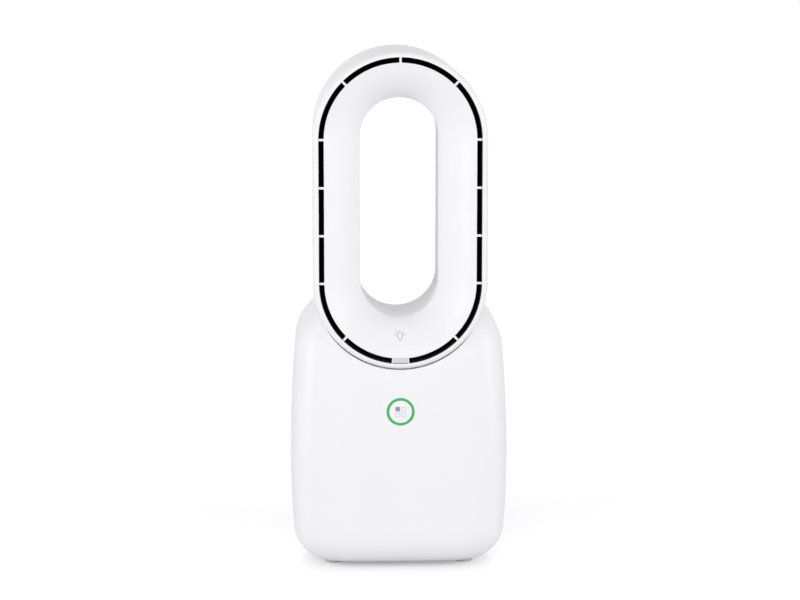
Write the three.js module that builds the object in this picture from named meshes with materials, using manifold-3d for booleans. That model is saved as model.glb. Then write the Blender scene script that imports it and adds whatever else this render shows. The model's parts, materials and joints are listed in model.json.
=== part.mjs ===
// Bladeless table fan: an upright oval loop let into a soft, rounded box base.
// Millimetres, +Z up. The origin is the centre of the rectangle that the fan stands on.
// The front faces -Y, and X = 0 is the plane of symmetry.

import * as THREE from 'three';
import { mergeVertices } from 'three/addons/utils/BufferGeometryUtils.js';
import { ParametricGeometry } from 'three/addons/geometries/ParametricGeometry.js';
import Module from 'manifold-3d';

const wasm = await Module();
wasm.setup();

// ---------------------------------------------------------------- driving dimensions

const clearance = 0.3;          // gap between pieces that touch

// Loop: an oval tube, open right through from front to back.
const loop_bottom = 144.3;      // height of the loop's lowest point over the floor
const loop_half_width = 60.1;
const loop_straight = 98.5;     // straight length of the loop's sides
const loop_depth = 126;
const loop_rear_draft = 0.4;    // the outer wall draws in this much towards the back
const loop_wall = 2.2;
const lip_flat = 1.2;           // flat ring just outside the air slot
const lip_round_width = 3.4;    // rounded edge outside that ring
const lip_round_depth = 6;
const slot_width = 3.7;
const slot_bridge = 1.55;       // width of the bridges across the slot
const slot_rim_depth = 3;
const window_length = 12;       // insert that closes the slot at the bottom centre
const window_sink = 0.6;
const throat_half_width = 27.2;
const throat_draft = 0.7;       // the throat widens this much towards the back
const throat_front_depth = 25;  // depth at which the funnel meets the throat
const throat_rear_depth = 80;   // depth at which the throat starts to flare
const funnel_edge_depth = 0.5;
const funnel_pull_radius = 10.2;
const funnel_pull_depth = 6.8;
const nose_half_width = 44;     // rearmost line of the loop's rounded back
const nose_depth = 18;
const shell_seam_angle = 35;    // place of the seam on the flared back, in degrees
const shell_seam_gap = 0.9;     // in degrees
const liner_wall = 1;
const liner_depth = 10;
const liner_sink = 4;

// Base: a rounded box with slightly bowed sides.
const base_width = 152.6;
const base_depth = 128;
const base_rise = 45.7;         // the rounded box would reach this far above the loop's lowest point
const base_lift = 2;            // height of the underside over the floor
const base_squareness = 5.5;    // exponent of the plan's superellipse
const base_belly_height = 75.5; // height of the widest section
const base_belly_top = 7;       // how far the sides bow in at the top
const base_belly_bottom = 4.4;
const shoulder_radius = 33;
const toe_radius = 25;
const base_wall = 2.5;
const loop_gap = 0.5;           // joint line round the loop
const seam_y = 12;              // plane between the front and rear housings
const saddle_wall = 2.4;

// Feet and the screws above them.
const foot_x = 46;
const foot_y = 27;
const foot_radius = 6.7;
const foot_height = 4.2;
const foot_bevel = 0.6;
const foot_boss_radius = 9.5;
const foot_boss_top = 9;
const screw_radius = 1.5;
const screw_head_radius = 3;
const screw_head_height = 1.9;
const base_screw_length = 10;

// Chassis plate, which carries the fan unit and the main board.
const chassis_thickness = 3;
const chassis_edge_gap = 0.6;
const chassis_boss_radius = 4;
const chassis_boss_height = 4.7;
const post_radius = 4.5;
const mount_x = 42;
const mount_y = 28;
const mount_height = 5.1;

// Fan unit on a vertical axis in the middle of the base.
const bell_height = 40;         // height of the duct's lower edge
const bell_radius = 46;
const bell_rise = 10;
const duct_radius = 39.5;       // inside, round the impeller
const duct_outlet_radius = 41.5;
const duct_wall = 2;
const duct_spread_bottom = 72;
const duct_spread_top = 84;
const duct_top = 108;
const ear_thickness = 3;
const ear_radius = 5.5;
const nacelle_radius = 21;
const nacelle_wall = 1.8;
const nacelle_bottom = 74;
const nacelle_shoulder = 100;
const nacelle_top = 110;
const guide_vanes = 7;
const guide_vane_thickness = 1.6;
const guide_vane_bottom = 79;
const guide_vane_height = 19;
const guide_vane_lean = 18;     // degrees

const impeller_bottom = 46;
const impeller_height = 24;
const impeller_tip_gap = 0.8;
const impeller_hub_bottom_radius = 12;
const impeller_hub_top_radius = 20;
const impeller_blades = 9;
const impeller_blade_thickness = 1.4;
const impeller_blade_sweep = 26; // degrees
const impeller_blade_start = 3;  // degrees; keeps the blades' roots off the hub's facet edges
const impeller_blade_spans = 5;  // facets along a blade, enough that its two faces never meet
const impeller_blade_rows = 3;   // facets up a blade
const nut_radius = 4;
const nut_height = 3;

const shaft_radius = 2;
const shaft_top = 99.7;
const bearing_radius = 6.5;
const bearing_height = 4;
const bearing_seat_wall = 1.6;
const motor_can_radius = 17.5;
const motor_can_wall = 1.5;
const motor_can_height = 26;
const end_cap_thickness = 2;
const stator_height = 15;
const stator_teeth = 9;
const stator_back_width = 2;
const rotor_radius = 9.2;
const rotor_gap = 0.6;

// Neck, which leads the air from the duct up into the loop.
const neck_half_width = 26;
const neck_half_depth = 34;
const neck_squareness = 4;
const neck_wall = 1.8;
const neck_oval_drop = 5.4;     // the neck is oval from this far below the saddle
const neck_reach = 12.7;        // how far the neck reaches up into the loop
const seal_height = 1.6;
const loop_screw_length = 14;
const loop_boss_radius = 4;
const loop_boss_reach = 12.7;   // above the loop's lowest point

// Air intake in the back of the rear housing.
const intake_half_width = 40;
const intake_bottom = 34;
const intake_top = 106;
const intake_slot = 3.2;
const intake_pitch = 6;
const intake_rib = 4;
const intake_border = 4;

// Power inlet below the intake.
const inlet_height = 24;
const inlet_radius = 4.9;
const inlet_bore_radius = 2.9;
const inlet_bore_depth = 9;
const inlet_pin_radius = 1;
const inlet_length = 19;
const inlet_sink = 0.4;
const inlet_block_width = 10;
const inlet_block_length = 9;
const inlet_flange_radius = 7;
const inlet_flange_thickness = 1.4;
const inlet_flange_gap = 0.8;   // between the flange and the curved wall

// Push button with its ring.
const button_drop = 29.3;       // from the loop's lowest point down to the button's centre
const button_ring_radius = 9.3;
const button_ring_width = 1.2;
const button_ring_length = 8;
const button_flange_radius = 11.4;
const button_flange_thickness = 1.2;
const button_proud = 0.1;
const button_thickness = 2.2;
const button_dome = 0.4;
const button_stem_radius = 2.4;
const button_stem_length = 6.2;
const plunger_radius = 1.5;
const plunger_length = 2.4;
const switch_size = 6;
const switch_depth = 3.6;
const switch_face = 7.6;        // behind the front surface
const switch_bore_depth = 3;
const button_board_width = 38;
const button_board_height = 26;
const board_thickness = 1.6;
const button_screw_x = 15;
const button_boss_radius = 3;
const small_screw_radius = 1.1;
const small_screw_head_radius = 2.4;
const small_screw_head_height = 1.6;
const small_screw_length = 8;

// Main board and the lamp key's board.
const main_board_width = 60;
const main_board_depth = 40;
const main_board_y = -20;
const main_board_lift = 5.4;    // over the chassis plate
const standoff_radius = 2.5;
const standoff_inset = 4;
const capacitor_radius = 4;
const capacitor_height = 10;
const capacitor_x = 20;
const capacitor_y = 8;
const coil = [20, -8, 9, 9, 5]; // middle in X and in Y, width, depth and height on the board
const driver_chip = [-4, -2, 8, 8, 1.4];
const regulator = [-16, 4, 6, 9, 2];
const plug_width = 8;
const plug_depth = 5.6;
const plug_height = 6;
const plug_inset = 4;           // from the board's edge to the middle of a plug
const inlet_plug_x = 8;
const button_plug_x = -12;
const motor_plug_x = -24;
const motor_plug_back = 9;      // from the board's middle
const lead_rise = 3;            // a lead stands straight this far above its plug
const touch_board_width = 16;
const touch_board_length = 11;
const touch_board_thickness = 1.2;
const touch_board_gap = 0.7;
const lead_radius = 1.2;
const lead_hole_radius = 2;
const touch_lead_x = 6;
const touch_lead_y = -46;

// ---------------------------------------------------------------- derived places

const loop_low = loop_bottom + loop_half_width; // centre of the lower arc
const loop_high = loop_low + loop_straight;
const total_height = loop_high + loop_half_width;
const base_top = loop_bottom + base_rise;
const button_height = loop_bottom - button_drop;
const neck_top = loop_bottom + neck_reach;
const loop_boss_top = loop_bottom + loop_boss_reach;
const liner_back = loop_depth / 2 - liner_sink - liner_depth; // from the middle plane
const loop_screw_y = (neck_half_depth + liner_back) / 2;
const loop_front = -loop_depth / 2;
const slot_outer = loop_half_width - lip_round_width - lip_flat;
const slot_inner = slot_outer - slot_width;
const slot_middle = slot_outer - slot_width / 2;
const notch_radius = loop_half_width + loop_gap;
const saddle_bottom = loop_low - notch_radius - saddle_wall;
const neck_oval_bottom = saddle_bottom - neck_oval_drop;
const loop_screw_seat = saddle_bottom - clearance;
const loop_screw_tip = loop_screw_seat + loop_screw_length;
const chassis_bottom = foot_boss_top + clearance;
const chassis_top = chassis_bottom + chassis_thickness;
const post_top = bell_height + ear_thickness / 2 - mount_height - 2 * clearance;
const ear_bottom = bell_height + ear_thickness / 2;
const can_bottom = nacelle_bottom;
const can_top = can_bottom + motor_can_height;
const end_cap_top = can_bottom - clearance;
const end_cap_bottom = end_cap_top - end_cap_thickness;
const shaft_hole_radius = shaft_radius + clearance;
const screw_hole_radius = screw_radius + clearance;
const mid_motor = (can_bottom + can_top) / 2;
const lead_angle = Math.PI * 1.09; // bearing of the motor lead round the fan axis
const lead_entry_height = 90;

// ---------------------------------------------------------------- small helpers

const degrees = (angle) => (angle * Math.PI) / 180;

/** Makes a closed geometry, with merged corners and faces outwards, into a solid. */
function solid(geometry) {
  const bare = geometry.index ? geometry.toNonIndexed() : geometry.clone();
  bare.deleteAttribute('normal');
  bare.deleteAttribute('uv');
  const merged = mergeVertices(bare, 1e-4);
  const corners = merged.attributes.position.array;
  const kept = [];
  let volume = 0;
  for (let i = 0; i < merged.index.count; i += 3) {
    const [a, b, c] = [0, 1, 2].map((k) => merged.index.array[i + k]);
    if (a === b || b === c || c === a) continue;
    kept.push([a, b, c]);
    const [p, q, r] = [a, b, c].map((k) => new THREE.Vector3().fromArray(corners, 3 * k));
    volume += p.dot(q.cross(r));
  }
  const faces = volume < 0 ? kept.map(([a, b, c]) => [a, c, b]) : kept;
  return new wasm.Manifold(new wasm.Mesh({
    numProp: 3,
    vertProperties: new Float32Array(corners),
    triVerts: new Uint32Array(faces.flat()),
  }));
}

/** Joins a list of solids. */
const join = (...solids) => solids.reduce((whole, next) => whole.add(next));

/** Cuts a list of solids out of the first. */
const cut = (whole, ...tools) => tools.reduce((rest, tool) => rest.subtract(tool), whole);

/** Turns a solid back into a geometry. */
function geometryOf(body) {
  const mesh = body.getMesh();
  const geometry = new THREE.BufferGeometry();
  geometry.setAttribute('position', new THREE.BufferAttribute(mesh.vertProperties, 3));
  geometry.setIndex(new THREE.BufferAttribute(mesh.triVerts, 1));
  return geometry;
}

/** Turns a profile of [radius, height] points, closed on itself or on the axis, about Z. */
function turned(points, segments = 24) {
  const profile = points.map(([radius, height]) => new THREE.Vector2(radius, height));
  if (points[0][0] > 0) profile.push(profile[0].clone());
  return solid(new THREE.LatheGeometry(profile, segments).rotateX(Math.PI / 2));
}

/** An upright ring or, with no inner radius, an upright disc. */
function ring(inner, outer, bottom, top, segments = 24) {
  const outside = [[outer, bottom], [outer, top]];
  return turned([[inner, bottom], ...outside, [inner, top]], segments);
}

const moved = (body, x, y, z) => body.translate([x, y, z]);

/** Lays an upright solid down, so that its height runs along +Y. */
const laidBack = (body) => body.rotate([-90, 0, 0]);

/** A box between two corners. */
function box(low, high) {
  const size = high.map((value, axis) => value - low[axis]);
  const middle = high.map((value, axis) => (value + low[axis]) / 2);
  return solid(new THREE.BoxGeometry(...size).translate(...middle));
}

/** Pushes a shape drawn in X and Z along Y. */
function pushedAlongY(shape, from, to, curveSegments = 10) {
  const geometry = new THREE.ExtrudeGeometry(shape, {
    depth: to - from, bevelEnabled: false, curveSegments,
  });
  return solid(geometry.rotateX(Math.PI / 2).translate(0, to, 0));
}

/** A round tube along a smooth curve through the given points. */
function lead(points) {
  const route = new THREE.CatmullRomCurve3(points.map((point) => new THREE.Vector3(...point)));
  const section = new THREE.Shape().absarc(0, 0, lead_radius, 0, 2 * Math.PI);
  return solid(new THREE.ExtrudeGeometry(section, {
    steps: 3 * (points.length - 1), curveSegments: 4, extrudePath: route,
  }));
}

/** Points on part of an ellipse about [cx, cy], from one angle to another in degrees. */
function arc(cx, cy, rx, ry, from, to, steps) {
  return Array.from({ length: steps + 1 }, (_, i) => {
    const angle = degrees(from + ((to - from) * i) / steps);
    return [cx + rx * Math.cos(angle), cy + ry * Math.sin(angle)];
  });
}

/** Every second point of a path, with both of its ends kept. */
const thinned = (points) => points.filter((_, i) => i % 2 === 0 || i === points.length - 1);

/** The path moved sideways, to its left, by a distance. */
function offset(points, distance) {
  return points.map((point, i) => {
    const before = points[Math.max(i - 1, 0)];
    const after = points[Math.min(i + 1, points.length - 1)];
    const run = new THREE.Vector2(after[0] - before[0], after[1] - before[1]).normalize();
    return [point[0] - run.y * distance, point[1] + run.x * distance];
  });
}

// ---------------------------------------------------------------- loop

const arc_steps = 16;

/** Carries a closed section of [half width, depth] points round the loop's oval. */
function ovalRing(section) {
  const stations = 2 * (arc_steps + 1);
  const place = (u, v, target) => {
    const station = Math.round(u * stations) % stations;
    const [half, depth] = section[Math.round(v * section.length) % section.length];
    const lower = station <= arc_steps;
    const turn = lower ? station - 2 * arc_steps : station - arc_steps - 1;
    const angle = (Math.PI * turn) / arc_steps + (lower ? Math.PI : 0);
    const side = lower ? loop_low : loop_high;
    target.set(half * Math.cos(angle), loop_front + depth, side + half * Math.sin(angle));
  };
  return solid(new ParametricGeometry(place, stations, section.length));
}

/** The outside of the loop, from the slot's outer edge round the back to the seam. */
function outerPath() {
  const flat = slot_outer + lip_flat;
  const rear = loop_half_width - loop_rear_draft;
  const nose_start = loop_depth - nose_depth;
  const throat = throat_half_width + throat_draft;
  const flare = [nose_half_width - throat, loop_depth - throat_rear_depth];
  return [
    [slot_outer, 0],
    ...arc(flat, lip_round_depth, lip_round_width, lip_round_depth, -90, 0, 4),
    ...arc(nose_half_width, nose_start, rear - nose_half_width, nose_depth, 0, 90, 5),
    ...arc(nose_half_width, throat_rear_depth, ...flare, 90, 90 + shell_seam_angle, 3).slice(1),
  ];
}

/** The inside of the loop, from the seam along the throat and the funnel to the slot. */
function innerPath() {
  const throat = throat_half_width + throat_draft;
  const flare = [nose_half_width - throat, loop_depth - throat_rear_depth];
  const start = 90 + shell_seam_angle + shell_seam_gap;
  return [
    ...arc(nose_half_width, throat_rear_depth, ...flare, start, 180, 5),
    ...funnelPoints(6),
  ];
}

/** The funnel's curve, from the throat's front edge to the slot's inner edge. */
function funnelCurve() {
  const control = [throat_half_width + funnel_pull_radius, funnel_edge_depth + funnel_pull_depth];
  return new THREE.QuadraticBezierCurve(
    new THREE.Vector2(throat_half_width, throat_front_depth),
    new THREE.Vector2(...control),
    new THREE.Vector2(slot_inner, funnel_edge_depth),
  );
}

const funnelPoints = (steps) => funnelCurve().getPoints(steps).map((point) => point.toArray());

/** Outlines of the openings between the slot's bridges, in X and Z. */
function slotOutlines() {
  const bridge = slot_bridge / 2 / slot_middle;
  const window_angle = window_length / 2 / slot_middle;
  const quarter = Math.PI / 4;
  const outlines = [];
  const bend = (centre, from, to) => {
    const shape = new THREE.Shape();
    shape.absarc(0, centre, slot_outer, from, to, false);
    shape.absarc(0, centre, slot_inner, to, from, true);
    outlines.push(shape);
  };
  for (let i = 0; i < 4; i += 1) {
    bend(loop_high, i * quarter + bridge, (i + 1) * quarter - bridge);
  }
  for (const [from, to] of [[4, 5], [7, 8]]) {
    bend(loop_low, from * quarter + bridge, to * quarter - bridge);
  }
  bend(loop_low, 5 * quarter + bridge, 6 * quarter - window_angle);
  bend(loop_low, 6 * quarter + window_angle, 7 * quarter - bridge);
  for (const side of [-1, 1]) {
    for (let i = 0; i < 3; i += 1) {
      const bottom = loop_low + (loop_straight * i) / 3 + slot_bridge / 2;
      const top = loop_low + (loop_straight * (i + 1)) / 3 - slot_bridge / 2;
      const corners = [[slot_inner, bottom], [slot_outer, bottom], [slot_outer, top], [slot_inner, top]];
      outlines.push(new THREE.Shape(corners.map(([x, z]) => new THREE.Vector2(side * x, z))));
    }
  }
  return outlines;
}

/** One bridge across the slot, pointing away from [0, centre] at an angle in degrees. */
function bridge(centre, angle) {
  const reach = slot_outer - clearance;
  const root = slot_inner - liner_wall;
  const bar = box([root, 0, -slot_bridge / 2], [reach, slot_rim_depth - funnel_edge_depth, slot_bridge / 2]);
  return moved(bar.rotate([0, -angle, 0]), 0, loop_front + funnel_edge_depth, centre);
}

function loopBridges() {
  const bars = [45, 90, 135].map((angle) => bridge(loop_high, angle));
  for (const angle of [225, 315]) bars.push(bridge(loop_low, angle));
  for (let i = 0; i < 4; i += 1) {
    const height = loop_low + (loop_straight * i) / 3;
    bars.push(bridge(height, 0), bridge(height, 180));
  }
  return bars;
}

/** An upright oval prism with the neck's plan, grown by a margin. */
function neckPrism(margin, bottom, top) {
  const outline = planPoints(neck_half_width + margin, neck_half_depth + margin, neck_squareness, 32);
  const shape = new THREE.Shape(outline.map(([x, y]) => new THREE.Vector2(x, y)));
  const geometry = new THREE.ExtrudeGeometry(shape, { depth: top - bottom, bevelEnabled: false });
  return solid(geometry.translate(0, 0, bottom));
}

/** Holes for the neck, the loop's screws and the lamp key's lead, through the wall below. */
function loopFootHoles() {
  const bottom = saddle_bottom - 1;
  const screws = [-loop_screw_y, loop_screw_y].map((y) => (
    moved(ring(0, screw_hole_radius, bottom, loop_screw_tip + clearance, 12), 0, y, 0)
  ));
  const drill = ring(0, lead_hole_radius, bottom, loop_boss_top, 12);
  const lead_hole = moved(drill, touch_lead_x, touch_lead_y, 0);
  return [neckPrism(clearance, bottom, loop_boss_top + 5), lead_hole, ...screws];
}

function loopOuterShell() {
  const path = outerPath();
  const inside = offset(path, loop_wall);
  inside[0] = [slot_outer, loop_wall];
  const shell = ovalRing([...path, ...thinned(inside).reverse()]);
  const bosses = [-loop_screw_y, loop_screw_y].map((y) => (
    moved(ring(0, loop_boss_radius, loop_low - loop_half_width + loop_wall, loop_boss_top, 16), 0, y, 0)
  ));
  return cut(join(shell, ...bosses), ...loopFootHoles());
}

function loopInnerShell() {
  const path = innerPath();
  const inside = offset(path, loop_wall).slice(0, -1);
  const shell = ovalRing([...path, [slot_inner, slot_rim_depth], ...thinned(inside).reverse()]);
  return join(shell, ...loopBridges());
}

function slotLiner() {
  const back = liner_sink + liner_depth;
  const inner = slot_inner - liner_wall;
  const outer = slot_outer + liner_wall;
  const block = ovalRing([[inner, liner_sink], [outer, liner_sink], [outer, back], [inner, back]]);
  const holes = slotOutlines().map((shape) => pushedAlongY(shape, loop_front, loop_front + back + 1, 3));
  return cut(block, ...holes);
}

/** The insert that closes the slot at its lowest point, a piece of the slot's own ring. */
function slotWindow() {
  const spread = (window_length / 2 - clearance) / slot_middle;
  const down = 1.5 * Math.PI;
  const shape = new THREE.Shape();
  shape.absarc(0, loop_low, slot_outer - clearance, down - spread, down + spread, false);
  shape.absarc(0, loop_low, slot_inner + clearance, down + spread, down - spread, true);
  return pushedAlongY(shape, loop_front + window_sink, loop_front + liner_sink - clearance, 3);
}

/** The middle of the funnel's curve, and its direction, as [half width, depth] values. */
function funnelMiddle() {
  const curve = funnelCurve();
  return { point: curve.getPoint(0.5), run: curve.getTangent(0.5) };
}

/** The lamp key's board lies along the back of the lower funnel. */
function touchBoard() {
  const { point, run } = funnelMiddle();
  const lift = loop_wall + touch_board_gap + touch_board_thickness / 2;
  const depth = point.y + run.x * lift;
  const drop = point.x - run.y * lift;
  const board = solid(new THREE.BoxGeometry(touch_board_width, touch_board_length, touch_board_thickness));
  const tilt = THREE.MathUtils.radToDeg(Math.atan2(run.x, -run.y));
  return moved(board.rotate([tilt, 0, 0]), 0, loop_front + depth, loop_low - drop);
}

// ---------------------------------------------------------------- base housings

/** Points round a superellipse with the given half sizes. */
function planPoints(half_width, half_depth, squareness, count) {
  return Array.from({ length: count }, (_, i) => {
    const angle = (2 * Math.PI * i) / count;
    const bend = (value) => Math.sign(value) * Math.abs(value) ** (2 / squareness);
    return [half_width * bend(Math.cos(angle)), half_depth * bend(Math.sin(angle))];
  });
}

/** How far the base's sides bow in at a height. */
function belly(z) {
  const above = (z - base_belly_height) / (base_top - base_belly_height);
  const below = (z - base_belly_height) / (base_lift - base_belly_height);
  return z > base_belly_height ? base_belly_top * above ** 2 : base_belly_bottom * below ** 2;
}

/** The rounded box of the base, shrunk on all sides by a margin. */
function baseBody(margin) {
  const bottom = base_lift + margin;
  const top = base_top - margin;
  const toe = toe_radius - margin;
  const shoulder = shoulder_radius - margin;
  const steps = margin > 0 ? 3 : 5;
  const side = [0, 1 / 3, 2 / 3].map((share) => (
    [0, base_belly_height + share * (base_top - shoulder_radius - base_belly_height)]
  ));
  const outline = [
    ...arc(-toe, bottom + toe, toe, toe, -90, 0, steps),
    ...side,
    ...arc(-shoulder, top - shoulder, shoulder, shoulder, 0, 90, steps),
  ];
  const rows = outline.map(([inset, z]) => {
    const shrink = margin - inset + belly(z);
    return { z, half_width: base_width / 2 - shrink, half_depth: base_depth / 2 - shrink };
  });
  const pole = (z) => ({ z, half_width: 0, half_depth: 0 });
  const closed = [pole(bottom), ...rows, pole(top)];
  const columns = 40;
  const plans = closed.map((row) => planPoints(row.half_width, row.half_depth, base_squareness, columns));
  const place = (u, v, target) => {
    const row = Math.round(v * (closed.length - 1));
    const [x, y] = plans[row][Math.round(u * columns) % columns];
    target.set(x, y, closed[row].z);
  };
  return solid(new ParametricGeometry(place, columns, closed.length - 1));
}

/** How far forward the base's front face stands on the centre line at a height. */
const frontFace = (z) => -(base_depth / 2 - belly(z));

/** How far back the base's rear face, or the surface a margin inside it, stands at a low height. */
function rearToeFace(z, margin = 0) {
  const toe = toe_radius - margin;
  const drop = Math.max(base_lift + toe_radius - z, 0);
  return base_depth / 2 - margin - belly(z) - toe + Math.sqrt(toe ** 2 - drop ** 2);
}

/** The room that the loop needs, a trough open upwards, right through the base. */
function loopNotch(radius) {
  const shape = new THREE.Shape();
  shape.absarc(0, loop_low, radius, Math.PI, 2 * Math.PI, false);
  shape.lineTo(radius, total_height);
  shape.lineTo(-radius, total_height);
  return pushedAlongY(shape, -base_depth, base_depth);
}

const outer_body = baseBody(0);
const inner_body = baseBody(base_wall);
const housing_shell = cut(outer_body, inner_body, loopNotch(notch_radius));
const foot_places = [[-foot_x, -foot_y], [foot_x, -foot_y], [-foot_x, foot_y], [foot_x, foot_y]];

/** Thick pads in the housing above the feet, each with a foot pocket and a screw hole. */
function withFootPads(housing, side) {
  const places = foot_places.filter(([, y]) => Math.sign(y) === side);
  const pads = places.map(([x, y]) => (
    moved(ring(0, foot_boss_radius, base_lift / 2, foot_boss_top, 16), x, y, 0).intersect(outer_body)
  ));
  const head_seat = foot_height + 2 * clearance + screw_head_height;
  const pockets = places.flatMap(([x, y]) => [
    moved(ring(0, foot_radius + clearance, 0, foot_height + clearance, 16), x, y, 0),
    moved(ring(0, screw_head_radius + clearance, 0, head_seat, 10), x, y, 0),
    moved(ring(0, screw_hole_radius, 0, foot_boss_top + 1, 8), x, y, 0),
  ]);
  return cut(join(housing, ...pads), ...pockets);
}

function frontHousing() {
  const front_room = box([-base_width, -base_depth, 0], [base_width, seam_y - clearance / 2, total_height]);
  const face = frontFace(button_height);
  const bosses = [-button_screw_x, button_screw_x].map((x) => {
    const length = switch_face + switch_depth - base_wall / 2;
    const boss = laidBack(ring(0, button_boss_radius, 0, length, 16));
    return moved(boss, x, face + base_wall / 2, button_height);
  });
  const screw_holes = [-button_screw_x, button_screw_x].map((x) => {
    const hole = laidBack(ring(0, small_screw_radius + clearance, 0, 20, 10));
    return moved(hole, x, face + base_wall + 1, button_height);
  });
  const button_hole = laidBack(ring(0, button_ring_radius + clearance, -5, base_wall + 2, 28));
  const housing = withFootPads(housing_shell, -1).intersect(front_room);
  return cut(join(housing, ...bosses), moved(button_hole, 0, face, button_height), ...screw_holes);
}

/** The window in the rear housing for the intake grille, widened by a margin. */
function intakeRoom(margin) {
  return box(
    [-intake_half_width - margin, base_depth / 4, intake_bottom - margin],
    [intake_half_width + margin, base_depth, intake_top + margin],
  );
}

function rearHousing() {
  const rear_room = box([-base_width, seam_y + clearance / 2, 0], [base_width, base_depth, total_height]);
  const inlet_hole = laidBack(ring(0, inlet_radius + clearance, 0, base_depth, 20));
  return cut(
    withFootPads(housing_shell, 1).intersect(rear_room),
    intakeRoom(clearance),
    moved(inlet_hole, 0, base_depth / 4, inlet_height),
  );
}

function intakeGrille() {
  const panel = housing_shell.intersect(intakeRoom(0));
  const slots = [];
  const first = intake_bottom + intake_border;
  const reach = intake_half_width - intake_border;
  for (let z = first; z + intake_slot <= intake_top - intake_border; z += intake_pitch) {
    slots.push(box([-reach, 0, z], [-intake_rib / 2, base_depth, z + intake_slot]));
    slots.push(box([intake_rib / 2, 0, z], [reach, base_depth, z + intake_slot]));
  }
  return cut(panel, ...slots);
}

/** The trough under the loop, which closes the top of the base. */
function saddle() {
  const room = baseBody(base_wall + clearance);
  const trough = loopNotch(notch_radius + saddle_wall).subtract(loopNotch(notch_radius));
  return cut(trough.intersect(room), ...loopFootHoles());
}

function foot() {
  const edge = [[foot_radius - foot_bevel, 0], [foot_radius, foot_bevel], [foot_radius, foot_height]];
  return turned([[0, 0], ...edge, [0, foot_height]], 16);
}

/** A screw pointing up, with its head's underside at zero. */
function screw(radius, head_radius, head_height, length) {
  return turned([[0, -head_height], [head_radius, -head_height], [head_radius, 0], [radius, 0],
    [radius, length], [0, length]], 8);
}

// ---------------------------------------------------------------- chassis and fan unit

const mount_places = [[-mount_x, -mount_y], [mount_x, -mount_y], [-mount_x, mount_y], [mount_x, mount_y]];
const board_top = chassis_top + main_board_lift + board_thickness;
const plug_top = board_top + plug_height;
const inlet_plug_y = main_board_y + main_board_depth / 2 - plug_inset;
const button_plug_y = main_board_y - main_board_depth / 2 + plug_inset;
const motor_plug_y = main_board_y - motor_plug_back;

function chassisPlate() {
  const slab = box([-base_width, -base_depth, chassis_bottom], [base_width, base_depth, chassis_top]);
  const plate = baseBody(base_wall + chassis_edge_gap).intersect(slab);
  const inside = chassis_top - chassis_thickness / 2;
  const bosses = foot_places.map(([x, y]) => (
    moved(ring(0, chassis_boss_radius, inside, chassis_top + chassis_boss_height, 12), x, y, 0)
  ));
  const posts = mount_places.map(([x, y]) => moved(ring(0, post_radius, inside, post_top, 12), x, y, 0));
  const standoff_x = main_board_width / 2 - standoff_inset;
  const standoff_y = main_board_depth / 2 - standoff_inset;
  const standoffs = [[-1, -1], [1, -1], [-1, 1], [1, 1]].map(([i, j]) => {
    const standoff = ring(0, standoff_radius, inside, chassis_top + main_board_lift - clearance, 8);
    return moved(standoff, i * standoff_x, main_board_y + j * standoff_y, 0);
  });
  const holes = foot_places.map(([x, y]) => moved(ring(0, screw_hole_radius, 0, post_top / 2, 8), x, y, 0));
  return cut(join(plate, ...posts, ...standoffs, ...bosses), ...holes);
}

function ductMount() {
  return ring(0, post_radius, 0, mount_height, 16);
}

/** Opening in the duct, nacelle and sleeve for the motor's lead, along its bearing. */
function motorLeadHole() {
  const along = ring(0, lead_hole_radius, motor_can_radius - 1, duct_outlet_radius + 5, 12);
  const level = along.rotate([0, 90, 0]).rotate([0, 0, THREE.MathUtils.radToDeg(lead_angle)]);
  return moved(level, 0, 0, lead_entry_height);
}

function guideVane(index) {
  const inner = nacelle_radius - nacelle_wall / 2;
  const outer = duct_radius + duct_wall / 2;
  const vane = box(
    [inner, -guide_vane_thickness / 2, -guide_vane_height / 2],
    [outer + 1, guide_vane_thickness / 2, guide_vane_height / 2],
  );
  const turn = (360 / guide_vanes) * index;
  const leaning = vane.rotate([guide_vane_lean, 0, 0]).rotate([0, 0, turn]);
  return moved(leaning, 0, 0, guide_vane_bottom + guide_vane_height / 2);
}

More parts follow.
